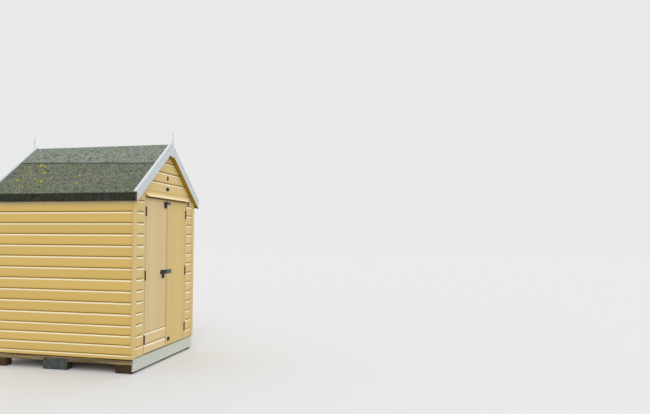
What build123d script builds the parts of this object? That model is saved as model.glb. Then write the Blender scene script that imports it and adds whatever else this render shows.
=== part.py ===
from build123d import *

import os
from math import ceil, cos, floor, radians, sin, tan

# A timber beach hut on blocks, in millimetres. X runs along the front, from the left to the
# right of someone facing the doors, Y runs from the front to the back, and Z is up from the ground.

# Walls
hut_width = 1510          # over the side cladding
hut_length = 1980         # over the front and back cladding
cladding = 20             # thickness of the shiplap
board_cover = 134         # what one shiplap board covers
course_drop = 48.5        # from the door head down to the board joint every wall is set out from
repair_courses = 11       # boards of the full cover below that joint on the side walls
repair_cover = 114        # the narrower boards below them
cove_height = 17          # the hollow along the top edge of each board
cove_depth = 7
side_skirt_drop = 6       # lower edge of the side and back cladding, below the floor
stud_width = 38
stud_depth = 45
side_bays = 3
back_bays = 3
plate_rise = 18           # from the door head to the underside of the wall plates
corner_front = 58         # corner board as seen from the front
corner_side = 28          # and from the side
corner_proud = 10

# Base
block_height = 100
block_length = 215
block_width = 105
bearer_height = 60
bearer_width = 75
bearer_setback = 5        # behind the frame line
floor_thickness = 18
cover_plate_length = 328
cover_plate_height = 134
cover_plate_offset = 50   # behind the middle of the side
cover_plate_gap = 3       # above the ground
cover_plate_steel = 3
plinth_gap = 28           # above the ground
plinth_inset = 2          # from the ends of the bearers' row
plinth_proud = 2

# Roof
pitch = 41
side_overhang = 49        # from the side cladding to the outside of the eaves felt
verge_overhang = 60       # from the gable cladding to the outside of the barge board
barge_tip_drop = 77       # below the door head
barge_width = 84
barge_thickness = 20
roof_board = 16
felt = 4
ridge_sheet_reach = 440   # down each slope
eaves_board = 20
eaves_drop = 66           # lower edge of the eaves board and the folded felt, below the door head
verge_batten_setback = 3  # above the barge board's lower edge
verge_cap_width = 44
verge_cap_thickness = 16
ridge_beam_width = 20
ridge_beam_depth = 98
purlin_width = 38
purlin_depth = 50
finial_length = 340
finial_foot_drop = 178    # below the ridge
finial_foot_width = 102
finial_foot_rise = 22     # from the point at the foot to its two corners
finial_width = 16         # at the ridge
finial_tip = 9
finial_thickness = 12

# Doorway and leaves
doorway_width = 1028
door_gap = 5              # leaf to frame
meeting_gap = 6           # leaf to leaf
sill_gap = 6
leaf_height = 1903
leaf_boards = 5           # tongued boards in a leaf
leaf_thickness = 20
vee_depth = 3
post_face = 31
stop_width = 13
sill_height = 20
ledge_height = 92
ledge_thickness = 20
ledge_inset = 26          # from the leaf's edges
brace_width = 80
patch_height = 258        # shiplap repair at the foot of the left leaf
patch_cover = 142         # its upper board
drip_reach = 12           # beyond the doorway
drip_gap = 5              # above the door head
drip_height = 56
drip_projection = 45
drip_nose = 14
drip_hollow_out = 13      # where its steep top turns to the flatter nose
drip_hollow_level = 33

# Hinges
hinge_height = 112
hinge_inset = 170         # hinge centre from the end of the leaf
hinge_plate = 2
hinge_plate_depth = 18
knuckle_radius = 6
knuckles = 3
knuckle_gap = 0.6
pin_radius = 3
pin_clearance = 0.08

# Locks and small plates
hasp_steel = 3
middle_hasp_rise = 968    # above the foot of the leaf
top_hasp_drop = 41        # below the top of the leaf
middle_hasp_height = 54
top_hasp_height = 36
middle_staple_offset = 98
top_staple_offset = 60
middle_hasp_reach = 155   # strap, measured from the meeting line
top_hasp_reach = 86
middle_plate_length = 121
top_plate_length = 81
strap_corner = 9          # radius of the strap's end
strap_clearance = 1       # from the strap to the meeting line
hasp_gap = 5              # from the strap to its hinge plate
rod_sides = 8             # forged rods are eight-sided
staple_rod = 5
staple_reach = 20
staple_half = 8
staple_plate = 44
slot_clearance = 1
shackle_rod = 6
shackle_radius = 13
hang_gap = 0.6            # shackle above the staple's lower leg
hasp_barrel = 4
padlock_width = 42
padlock_height = 46
padlock_thickness = 18
padlock_corner = 6
padlock_gap = 2           # below the strap
bolt_offset = 76
bolt_rise = 78            # above the foot of the leaf
bolt_plate_width = 58
bolt_plate_height = 50
bolt_rod = 9
bolt_sink = 1.5           # rod let into its plate
bolt_knob = 12            # length of the knob
bolt_knob_width = 6
oval_width = 40
oval_height = 68
oval_rise = 194.5         # above the lowest joint of the gable
lower_plate_width = 76
lower_plate_height = 44
lower_plate_rise = 52
small_plate = 3
hook_inset = 35           # from the post's outer edge to the middle of the hook's plate
hook_drop = 5             # middle of its plate, below the door head
hook_plate_width = 56
hook_plate_height = 62
hook_rod = 7
hook_pin = 5
hook_stand = 14           # hook off its plate
hook_length = 46

# Sizes that follow
floor_level = block_height + bearer_height + floor_thickness
leaf_bottom = floor_level + sill_gap
leaf_top = leaf_bottom + leaf_height
head_level = leaf_top + door_gap
side_skirt_level = floor_level - side_skirt_drop
course_level = head_level - course_drop
gable_level = course_level + board_cover
plate_level = head_level + plate_rise
barge_tip_level = head_level - barge_tip_drop
eaves_level = head_level - eaves_drop
front = -hut_length / 2
back = hut_length / 2
side = hut_width / 2
frame_side = side - cladding
frame_front = front + cladding
frame_back = back - cladding
eave_side = side + side_overhang
rise = tan(radians(pitch))
ridge_level = barge_tip_level + barge_width / cos(radians(pitch)) + eave_side * rise
under_roof_level = ridge_level - (roof_board + felt) / cos(radians(pitch))
barge_face = hut_length / 2 + verge_overhang
roof_half_length = barge_face - barge_thickness
door_side = doorway_width / 2
post_side = door_side + post_face
frame_depth = cladding + stud_depth
leaf_outer = door_side - door_gap
leaf_inner = meeting_gap / 2
leaf_width = leaf_outer - leaf_inner
bearer_outside = frame_side - bearer_setback
hinge_x = door_side - door_gap / 2
hinge_y = front - knuckle_radius


def block(x0, x1, y0, y1, z0, z1):
    size = (x1 - x0, y1 - y0, z1 - z0)
    return Pos((x0 + x1) / 2, (y0 + y1) / 2, (z0 + z1) / 2) * Box(*size)


def across(points, y0, y1):
    """A solid from an outline seen from the front, as x and z, between two depths."""
    face = make_face(Polyline(*[(x, y0, z) for x, z in points], close=True))
    return extrude(face, y1 - y0, dir=(0, 1, 0))


def along(points, x0, x1):
    """A solid from an outline seen from the side, as y and z, between two places along the front."""
    face = make_face(Polyline(*[(x0, y, z) for y, z in points], close=True))
    return extrude(face, x1 - x0, dir=(1, 0, 0))


def upright(points, z0, z1):
    """A solid from a plan outline, as x and y, between two heights."""
    face = make_face(Polyline(*[(x, y, z0) for x, y in points], close=True))
    return extrude(face, z1 - z0, dir=(0, 0, 1))


def flipped(shape):
    """The same piece on the other side of the hut."""
    return mirror(shape, about=Plane.YZ)


def turned(shape):
    """The same piece at the other end of the hut, handed."""
    return mirror(shape, about=Plane.XZ)


def save(name, *solids):
    shape = solids[0] if len(solids) == 1 else Compound(children=list(solids))
    export_step(shape, f"parts/{name}.step")


def slope(x, level=None):
    """Height of a line that falls from the ridge at the roof's pitch."""
    return (ridge_level if level is None else level) - abs(x) * rise


def roof_band(top, thickness, x0, x1):
    """Outline of a sheet on the right slope: its upper side is a line that meets the ridge at top."""
    drop = thickness / cos(radians(pitch))
    z0, z1 = slope(x0, top), slope(x1, top)
    return [(x0, z0), (x1, z1), (x1, z1 - drop), (x0, z0 - drop)]


def room_under_roof():
    """Everything below the underside of the roof boards."""
    reach = eave_side + cladding
    points = [(-reach, 0), (reach, 0), (reach, slope(reach, under_roof_level)), (0, under_roof_level)]
    points.append((-reach, slope(reach, under_roof_level)))
    return across(points, -barge_face, barge_face)


def courses(bottom, top):
    """Levels of the board joints between two heights, set out from the common joint."""
    first = ceil((bottom + cove_height - course_level) / board_cover)
    last = floor((top - course_level) / board_cover)
    levels = [course_level + step * board_cover for step in range(first, last + 1)]
    return [level for level in levels if bottom + cove_height < level < top]


def side_courses(bottom, top):
    """Full boards above the repair, and narrower ones below it."""
    repair_top = course_level - repair_courses * board_cover
    upper = courses(repair_top - board_cover / 2, top)
    narrow = floor((repair_top - bottom - cove_height) / repair_cover)
    return upper + [repair_top - step * repair_cover for step in range(1, narrow + 1)]


def shiplap_outline(bottom, top, joints, thickness=cladding):
    """Section of shiplap as depth and height: depth 0 inside, and a hollow under each board's lip."""
    points = [(0, bottom), (thickness, bottom)]
    for level in sorted(joints):
        points += [(thickness, level - cove_height), (thickness - cove_depth, level), (thickness, level)]
    return points + [(thickness, top), (0, top)]


def base_pieces():
    bearer_inside = bearer_outside - bearer_width
    bearer_top = block_height + bearer_height
    middle = bearer_width / 2
    right = block(bearer_inside, bearer_outside, frame_front, frame_back, block_height, bearer_top)
    centre = block(-middle, middle, frame_front, frame_back, block_height, bearer_top)
    save("floor_bearers", right, centre, flipped(right))

    starts = [frame_front, -block_length / 2, frame_back - block_length]
    columns = [bearer_outside - block_width, -block_width / 2, -bearer_outside]
    blocks = [
        block(x, x + block_width, y, y + block_length, 0, block_height) for x in columns for y in starts
    ]
    save("support_blocks", *blocks)

    half = cover_plate_length / 2
    plate = block(
        bearer_outside, bearer_outside + cover_plate_steel,
        cover_plate_offset - half, cover_plate_offset + half,
        cover_plate_gap, cover_plate_gap + cover_plate_height,
    )
    save("block_cover_plates", plate, flipped(plate))

    save("floor_boards", block(-frame_side, frame_side, frame_front, frame_back, bearer_top, floor_level))
    half = bearer_outside - plinth_inset
    save("front_plinth_board", block(-half, half, front - plinth_proud, frame_front, plinth_gap, floor_level))


def wall_pieces(under_roof):
    top = under_roof_level
    outline = shiplap_outline(side_skirt_level, top, side_courses(side_skirt_level, top))
    right = across([(frame_side + depth, z) for depth, z in outline], frame_front, frame_back) & under_roof
    save("right_wall", right)
    save("left_wall", flipped(right))

    outline = shiplap_outline(side_skirt_level, top, courses(side_skirt_level, top))
    rear = along([(frame_back + depth, z) for depth, z in outline], -side, side) & under_roof
    save("back_wall", rear)

    outline = shiplap_outline(floor_level, gable_level, courses(floor_level, gable_level))
    strip = along([(frame_front - depth, z) for depth, z in outline], post_side, side) & under_roof
    save("front_wall_right", strip)
    save("front_wall_left", flipped(strip))

    outline = shiplap_outline(gable_level, top, courses(gable_level, top))
    gable = along([(frame_front - depth, z) for depth, z in outline], -side, side) & under_roof
    save("front_gable", gable)


def verge_band():
    """Outline of the batten behind the right barge board, from the ridge to the corner board."""
    depth = barge_width - roof_board - felt - verge_batten_setback
    return roof_band(under_roof_level, depth, 0, side + corner_proud)


def corner_pieces(under_roof):
    """Two boards cover each corner: one on the end wall, and one that butts behind it on the side."""
    outside = side + corner_proud
    face = front - corner_proud
    wide = block(outside - corner_front, outside, face, front, floor_level, under_roof_level) & under_roof
    wide -= across(verge_band(), -roof_half_length, front)
    narrow = block(side, outside, front, face + corner_side, floor_level, under_roof_level) & under_roof
    right = [wide, narrow, turned(wide), turned(narrow)]
    save("corner_boards", *right, *[flipped(board) for board in right])


def frame_pieces(under_roof):
    inside = frame_side - stud_depth
    sole_top = floor_level + stud_width
    rear = frame_back - stud_depth
    studs = []
    run = frame_back - frame_front - stud_width
    for bay in range(side_bays + 1):
        y = frame_front + run * bay / side_bays
        stud = block(inside, frame_side, y, y + stud_width, sole_top, plate_level)
        studs += [stud, flipped(stud)]
    half = stud_width / 2
    for bay in range(1, back_bays):
        x = -inside + 2 * inside * bay / back_bays
        studs.append(block(x - half, x + half, rear, frame_back, sole_top, plate_level))
    save("wall_studs", *studs)

    sole = block(inside, frame_side, frame_front, frame_back, floor_level, sole_top)
    plate = block(inside, frame_side, frame_front, frame_back, plate_level, under_roof_level) & under_roof
    save("side_wall_plates", sole, flipped(sole), plate, flipped(plate))

    back_sole = block(-inside, inside, rear, frame_back, floor_level, sole_top)
    back_plate = block(-inside, inside, rear, frame_back, plate_level, plate_level + stud_width)
    short_sole = block(post_side, inside, frame_front, front + frame_depth, floor_level, sole_top)
    save("end_wall_plates", back_sole, back_plate, short_sole, flipped(short_sole))


def roof_pieces():
    ends = (-roof_half_length, roof_half_length)
    deck_top = ridge_level - felt / cos(radians(pitch))
    deck_edge = eave_side - felt
    deck = across(roof_band(deck_top, roof_board, 0, deck_edge), *ends)
    save("roof_boards_right", deck)
    save("roof_boards_left", flipped(deck))

    inner = deck_edge - eaves_board
    outline = [
        (inner, eaves_level), (deck_edge, eaves_level),
        (deck_edge, slope(deck_edge, under_roof_level)), (inner, slope(inner, under_roof_level)),
    ]
    eaves = across(outline, *ends)
    save("eaves_boards", eaves, flipped(eaves))

    lap = ridge_sheet_reach * cos(radians(pitch))
    outline = [
        (0, deck_top), (deck_edge, slope(deck_edge, deck_top)), (deck_edge, eaves_level),
        (eave_side, eaves_level), (eave_side, slope(eave_side)), (0, ridge_level),
    ]
    lower = across(outline, *ends)
    save("roof_felt_right", lower)
    save("roof_felt_left", flipped(lower))
    ridge_top = ridge_level + felt / cos(radians(pitch))
    cap_edge = barge_face - verge_cap_width
    outline = [
        (-lap, slope(lap)), (0, ridge_level), (lap, slope(lap)),
        (lap, slope(lap, ridge_top)), (0, ridge_top), (-lap, slope(lap, ridge_top)),
    ]
    save("ridge_felt", across(outline, -cap_edge, cap_edge))


def roof_timbers():
    half = ridge_beam_width / 2
    foot = under_roof_level - ridge_beam_depth
    shoulder = slope(half, under_roof_level)
    outline = [(-half, foot), (half, foot), (half, shoulder), (0, under_roof_level), (-half, shoulder)]
    beam = across(outline, frame_front, frame_back)
    centre_x = frame_side / 2
    purlin = block(-purlin_width / 2, purlin_width / 2, frame_front, frame_back, -purlin_depth, 0)
    purlin = Pos(centre_x, 0, slope(centre_x, under_roof_level)) * Rot(0, pitch, 0) * purlin
    save("roof_beams", beam, purlin, flipped(purlin))


def barge_pieces():
    """Barge boards are mitred at the ridge and cut plumb at the eaves, with a cap on the verge."""
    board = across(roof_band(ridge_level, barge_width, 0, eave_side), -barge_face, -roof_half_length)
    save("barge_boards_right", board, turned(board))
    save("barge_boards_left", flipped(board), flipped(turned(board)))
    batten = across(verge_band(), -roof_half_length, front)
    save("verge_battens", batten, flipped(batten), turned(batten), flipped(turned(batten)))

    thick = verge_cap_thickness
    top = ridge_level + thick / cos(radians(pitch))
    end_x = eave_side + thick * sin(radians(pitch))
    outline = [(0, ridge_level), (eave_side, slope(eave_side)), (end_x, slope(end_x, top)), (0, top)]
    cap = across(outline, -barge_face, -barge_face + verge_cap_width)
    save("verge_caps_right", cap, turned(cap))
    save("verge_caps_left", flipped(cap), flipped(turned(cap)))


def finial_pieces():
    """A slender spike whose foot widens to cover the joint of the two barge boards."""
    foot = ridge_level - finial_foot_drop
    tip = foot + finial_length
    widths = [finial_foot_width, finial_width, finial_tip]
    levels = [foot + finial_foot_rise, ridge_level, tip]
    edge = [(width / 2, level) for width, level in zip(widths, levels)]
    outline = [(0, foot)] + edge + [(-x, z) for x, z in reversed(edge)]
    spike = across(outline, -barge_face - finial_thickness, -barge_face)
    save("finials", spike, turned(spike))


def doorway_pieces():
    inner = front + frame_depth
    stop_front = front + leaf_thickness + door_gap
    plan = [
        (door_side, front), (post_side, front), (post_side, inner),
        (door_side - stop_width, inner), (door_side - stop_width, stop_front), (door_side, stop_front),
    ]
    post = upright(plan, floor_level, head_level)
    save("door_posts", post, flipped(post))

    section = [
        (front, head_level), (front, gable_level), (frame_front, gable_level), (inner, gable_level),
        (inner, head_level), (stop_front, head_level),
    ]
    head = along(section, -post_side, post_side)
    stop_end = door_side - stop_width
    head_stop = block(-stop_end, stop_end, stop_front, inner, head_level - stop_width, head_level)
    save("door_head", head + head_stop)
    sill = block(-stop_end, stop_end, stop_front, inner, floor_level, floor_level + sill_height)
    save("door_sill", sill)

    foot = head_level + drip_gap
    nose = front - drip_projection
    hollow = (front - drip_hollow_out, foot + drip_hollow_level)
    section = [(front, foot), (front, foot + drip_height), hollow, (nose, foot + drip_nose), (nose, foot)]
    reach = door_side + drip_reach
    save("drip_board", along(section, -reach, reach))


def boarded_leaf(bottom):
    """The right leaf's tongued boards, with a vee where two meet."""
    width = leaf_width / leaf_boards
    points = [(leaf_inner, front)]
    for number in range(1, leaf_boards):
        x = leaf_inner + number * width
        points += [(x - vee_depth, front), (x, front + vee_depth), (x + vee_depth, front)]
    rear = front + leaf_thickness
    points += [(leaf_outer, front), (leaf_outer, rear), (leaf_inner, rear)]
    return upright(points, bottom, leaf_top)


def ledge_levels():
    low = leaf_bottom + hinge_inset
    high = leaf_top - hinge_inset
    return [low, (low + high) / 2, high]


def door_pieces():
    save("right_door_boards", boarded_leaf(leaf_bottom))
    patch_top = leaf_bottom + patch_height
    save("left_door_boards", flipped(boarded_leaf(patch_top)))
    joints = [patch_top - patch_cover]
    outline = shiplap_outline(leaf_bottom, patch_top, joints, leaf_thickness)
    rear = front + leaf_thickness
    save("left_door_patch", along([(rear - depth, z) for depth, z in outline], -leaf_outer, -leaf_inner))

    inner = leaf_inner + ledge_inset
    outer = leaf_outer - ledge_inset
    half = ledge_height / 2
    deep = rear + ledge_thickness
    ledges = [block(inner, outer, rear, deep, z - half, z + half) for z in ledge_levels()]
    save("right_door_ledges", *ledges)
    save("left_door_ledges", *[flipped(ledge) for ledge in ledges])

    braces = []
    levels = ledge_levels()
    for low, high in zip(levels[:-1], levels[1:]):
        foot = low + half
        head = high - half
        outline = [
            (outer, foot), (outer, foot + brace_width), (inner + brace_width, head), (inner, head),
            (inner, head - brace_width), (outer - brace_width, foot),
        ]
        braces.append(across(outline, rear, deep))
    save("right_door_braces", *braces)
    save("left_door_braces", *[flipped(brace) for brace in braces])


def knuckle_spans():
    """Height of each knuckle above the foot of the hinge, with a gap between neighbours."""
    step = hinge_height / knuckles
    return [(n * step + knuckle_gap / 2, (n + 1) * step - knuckle_gap / 2) for n in range(knuckles)]


def hinge_half(z, fixed):
    """One half of a butt hinge on the right: the frame's half holds the pin, the leaf's turns on it."""
    foot = z - hinge_height / 2
    near = door_gap / 2 - hinge_plate
    far = door_gap / 2
    x0, x1 = (hinge_x + near, hinge_x + far) if fixed else (hinge_x - far, hinge_x - near)
    plate_y = hinge_y + knuckle_radius + knuckle_gap
    half = block(x0, x1, plate_y, plate_y + hinge_plate_depth, foot, foot + hinge_height)
    spans = knuckle_spans()[0::2] if fixed else knuckle_spans()[1::2]
    for low, high in spans:
        height = high - low
        barrel = Pos(hinge_x, hinge_y, foot + (low + high) / 2) * Cylinder(knuckle_radius, height)
        tab = block(x0, x1, hinge_y, plate_y, foot + low, foot + high)
        half += barrel + tab
    if fixed:
        return half + Pos(hinge_x, hinge_y, z) * Cylinder(pin_radius, hinge_height - knuckle_gap)
    return half - Pos(hinge_x, hinge_y, z) * Cylinder(pin_radius + pin_clearance, hinge_height)


def hinge_pieces():
    fixed = [hinge_half(z, True) for z in ledge_levels()]
    moving = [hinge_half(z, False) for z in ledge_levels()]
    save("frame_hinge_plates", *fixed, *[flipped(half) for half in fixed])
    save("right_door_hinge_plates", *moving)
    save("left_door_hinge_plates", *[flipped(half) for half in moving])


def hairpin(radius, leg, rod):
    """A forged rod bent to a U in the XZ plane, eight-sided, with its crown up and its feet at leg."""
    section = RegularPolygon(rod / 2, rod_sides, major_radius=False, rotation=180 / rod_sides)
    crown = revolve(Pos(radius, 0) * section, Axis.Y, -180)
    for way in (-1, 1):
        crown += Pos(way * radius, 0, -leg) * extrude(section, leg)
    return crown


def staple(x, z, reach, radius, rod):
    """A hairpin that stands out of the front at x and z, one leg above the other."""
    bend = reach - radius
    return Pos(x, front - bend, z) * Rot(0, 90, 0) * Rot(90, 0, 0) * hairpin(radius, bend, rod)


def hasp(level, height, offset, reach):
    """The strap over its staple plate, on the left leaf, with the staple through the strap's slot."""
    x = -offset
    half = staple_plate / 2
    low, high = level - height / 2, level + height / 2
    plate_face = front - hasp_steel
    strap_face = plate_face - hasp_steel
    plate = block(x - half, x + half, plate_face, front, low, high)
    strap = block(-reach, -strap_clearance, strap_face, plate_face, low, high)
    strap = fillet(strap.edges().filter_by(Axis.Y).group_by(Axis.X)[0], strap_corner)
    slot_x = staple_rod / 2 + slot_clearance
    slot_z = staple_half + staple_rod / 2 + slot_clearance
    slot = block(x - slot_x, x + slot_x, strap_face, plate_face, level - slot_z, level + slot_z)
    return plate + (strap - slot) + staple(x, level, staple_reach, staple_half, staple_rod)


def hasp_plate(level, height, length):
    """The strap's hinge plate, on the right leaf, clear of the strap at the meeting line."""
    start = hasp_gap - strap_clearance
    centre = start + hasp_barrel
    plate = block(centre, start + length, front - hasp_steel, front, level - height / 2, level + height / 2)
    return plate + Pos(centre, front - hasp_barrel, level) * Cylinder(hasp_barrel, height)


def padlock(level, height, offset):
    """A padlock that hangs on its staple's lower leg."""
    x = -offset
    y = front - 2 * hasp_steel - (staple_reach - 2 * hasp_steel) / 2
    crown = level - staple_half + staple_rod / 2 + hang_gap + shackle_rod / 2
    centre = crown - shackle_radius
    body_top = level - height / 2 - padlock_gap
    shackle = Pos(x, y, centre) * hairpin(shackle_radius, centre - body_top, shackle_rod)
    body = Box(padlock_width, padlock_thickness, padlock_height)
    body = fillet(body.edges().filter_by(Axis.Y), padlock_corner)
    return shackle + Pos(x, y, body_top - padlock_height / 2) * body


def lock_pieces():
    middle = (leaf_bottom + middle_hasp_rise, middle_hasp_height)
    top = (leaf_top - top_hasp_drop, top_hasp_height)
    middle_hasp = hasp(*middle, middle_staple_offset, middle_hasp_reach)
    save("left_door_hasps", middle_hasp, hasp(*top, top_staple_offset, top_hasp_reach))
    middle_plate = hasp_plate(*middle, middle_plate_length)
    save("right_door_hasp_plates", middle_plate, hasp_plate(*top, top_plate_length))
    middle_lock = padlock(*middle, middle_staple_offset)
    save("left_door_padlocks", middle_lock, padlock(*top, top_staple_offset))

    bolt_level = leaf_bottom + bolt_rise
    plate = face_plate(bolt_offset, bolt_level, bolt_plate_width, bolt_plate_height)
    rod_y = front - small_plate - bolt_rod / 2 + bolt_sink
    rod = Pos(bolt_offset, rod_y, bolt_level) * Rot(0, 90, 0) * Cylinder(bolt_rod / 2, bolt_plate_width)
    knob = Rot(90, 0, 0) * Cylinder(bolt_knob_width / 2, bolt_knob)
    knob = Pos(bolt_offset + bolt_plate_width / 4, rod_y - bolt_knob / 2, bolt_level) * knob
    save("right_door_bolt", plate + rod + knob)


def face_plate(x, z, width, height):
    """A thin plate screwed to the front."""
    return block(x - width / 2, x + width / 2, front - small_plate, front, z - height / 2, z + height / 2)


def small_plates():
    oval = Rot(90, 0, 0) * extrude(Ellipse(oval_width / 2, oval_height / 2), small_plate)
    oval = Pos(0, front, gable_level + oval_rise) * oval
    lower = face_plate(0, gable_level + lower_plate_rise, lower_plate_width, lower_plate_height)
    save("gable_plates", oval, lower)

    x = post_side + hook_inset
    level = head_level - hook_drop
    plate = face_plate(x, level, hook_plate_width, hook_plate_height)
    pin_y = front - small_plate - hook_stand / 2
    pin = Rot(90, 0, 0) * Cylinder(hook_pin / 2, hook_stand)
    pin = Pos(x, pin_y, level + hook_length / 2) * pin
    hook = Pos(x, pin_y - hook_stand / 2, level) * Cylinder(hook_rod / 2, hook_length + hook_rod)
    save("door_hook", plate + pin + hook)


def main():
    os.makedirs("parts", exist_ok=True)
    under_roof = room_under_roof()
    base_pieces()
    wall_pieces(under_roof)
    corner_pieces(under_roof)
    frame_pieces(under_roof)
    roof_pieces()
    roof_timbers()
    barge_pieces()
    finial_pieces()
    doorway_pieces()
    door_pieces()
    hinge_pieces()
    lock_pieces()
    small_plates()


main()
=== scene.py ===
from math import cos, pi, radians, sin, tan

import bmesh
import bpy
import numpy as np
from mathutils import Matrix

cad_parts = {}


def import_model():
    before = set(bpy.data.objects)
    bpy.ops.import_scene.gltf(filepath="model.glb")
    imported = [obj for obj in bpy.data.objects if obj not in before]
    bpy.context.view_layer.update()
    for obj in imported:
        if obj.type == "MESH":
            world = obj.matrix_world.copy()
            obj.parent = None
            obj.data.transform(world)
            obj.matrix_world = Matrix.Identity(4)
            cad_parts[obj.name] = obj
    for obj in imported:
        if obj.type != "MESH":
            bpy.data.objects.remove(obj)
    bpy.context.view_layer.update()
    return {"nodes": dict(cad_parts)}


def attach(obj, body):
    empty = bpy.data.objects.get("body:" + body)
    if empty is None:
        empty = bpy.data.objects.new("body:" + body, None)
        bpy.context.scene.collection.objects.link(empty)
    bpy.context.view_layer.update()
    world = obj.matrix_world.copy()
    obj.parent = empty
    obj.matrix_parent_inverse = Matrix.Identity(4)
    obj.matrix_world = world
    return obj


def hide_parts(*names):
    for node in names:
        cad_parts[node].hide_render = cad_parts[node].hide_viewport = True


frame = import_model()

# Lengths below are in millimetres. X runs along the front, Y towards the back and Z up.
mm = 0.001

hut = {
    "side": 755, "end": 990, "skin": 20, "pitch": radians(41), "ridge": 2825.2, "roofThick": 20,
    "floor": 178, "skirt": 172, "joint": 2043.5, "cover": 134, "repairs": 11, "repairCover": 114,
    "gable": 2177.5, "doorSide": 514, "postSide": 545, "head": 2092, "verge": 1050, "eave": 804,
    "eaveFoot": 2026,
}
side, end, skin, ridge = hut["side"], hut["end"], hut["skin"], hut["ridge"]
front, frameSide, frameEnd = -end, side - skin, end - skin
pitchCos, pitchSin, rise = cos(hut["pitch"]), sin(hut["pitch"]), tan(hut["pitch"])
lean = 1 / pitchCos
roofUnder = ridge - hut["roofThick"] * lean


def roofLine(x, top=ridge):
    # Height of a line that falls from the ridge at the pitch of the roof.
    return top - np.abs(x) * rise


# Geometry

# Rows of each table say which way the grain, the face and the thickness of a board run.
grains = {
    "x": np.array([[1, 0, 0], [0, 0, 1], [0, 1, 0]], float),
    "y": np.array([[0, 1, 0], [0, 0, 1], [1, 0, 0]], float),
    "z": np.array([[0, 0, 1], [1, 0, 0], [0, 1, 0]], float),
    "fall": np.array([[pitchCos, 0, -pitchSin], [pitchSin, 0, pitchCos], [0, 1, 0]]),
}
timberSpan = 40  # metres of timber that boards are cut from, so that no two share their grain

making = {"smooth": 30, "softAngle": 40, "softSteps": 2, "facing": 0.7}


def partOf(points, faces, grain, drift, tone, lightAndDirt):
    # Points and faces, with what the finishes read at each point: its place in the grain, its tone, and how
    # much it is darkened by dirt and painted shade, a value below nought being a painted highlight.
    shape = points.shape[:-1]
    return {
        "points": points.reshape(-1, 3),
        "faces": faces,
        "boardSpace": (points * mm @ grains[grain].T + drift).reshape(-1, 3),
        "boardTone": np.broadcast_to(tone, shape).reshape(-1),
        "boardHollow": np.broadcast_to(lightAndDirt, shape).reshape(-1),
    }


def carry(rings, grain, chance, lightAndDirt=0.0, lighter=0.0):
    # rings[solid, station, corner] is a closed outline carried along a path. Neighbouring outlines are
    # joined by four-sided faces, and the first and last are filled. lighter raises the tone of solids.
    rings = np.asarray(rings, float)
    if rings.ndim == 3:
        rings = rings[None]
    solids, stations, corners = rings.shape[:3]
    number = np.arange(solids * stations * corners).reshape(solids, stations, corners)
    here, ahead = number[:, :-1], number[:, 1:]
    sides = np.stack([here, np.roll(here, -1, 2), np.roll(ahead, -1, 2), ahead], -1)
    drift = chance.uniform(0, timberSpan, (solids, 1, 1, 3))
    tone = chance.random((solids, 1, 1)) + lighter
    faces = [sides.reshape(-1, 4), number[:, 0, ::-1], number[:, -1]]
    return partOf(rings, faces, grain, drift, tone, lightAndDirt)


def gridFaces(rows, columns):
    # One four-sided face between each four neighbours of a grid.
    number = np.arange(rows * columns).reshape(rows, columns)
    return np.stack([number[:-1, :-1], number[1:, :-1], number[1:, 1:], number[:-1, 1:]], -1).reshape(-1, 4)


def sheetOf(grid, grain, chance, lightAndDirt=0.0):
    # grid[u, v] is a surface of two parameters.
    drift = chance.uniform(0, timberSpan, 3)
    return partOf(grid, [gridFaces(*grid.shape[:2])], grain, drift, chance.random(), lightAndDirt)


def mirrored(part, chance, flip=(-1, 1, 1)):
    # The same solids across the middle of the hut, cut from other boards.
    space = part["boardSpace"] + chance.uniform(0, timberSpan, 3)
    return dict(part, points=part["points"] * flip, boardSpace=space)


def turned(part, chance):
    # The same solids at the other end of the hut.
    return mirrored(part, chance, (1, -1, 1))


def handed(part, way, chance):
    # The solids as they stand on the right, or mirrored to the left.
    return part if way > 0 else mirrored(part, chance)


def fourCorners(part, chance):
    # The same solids at all four corners of the hut.
    return [part, turned(part, chance), mirrored(part, chance), mirrored(turned(part, chance), chance)]


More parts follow.
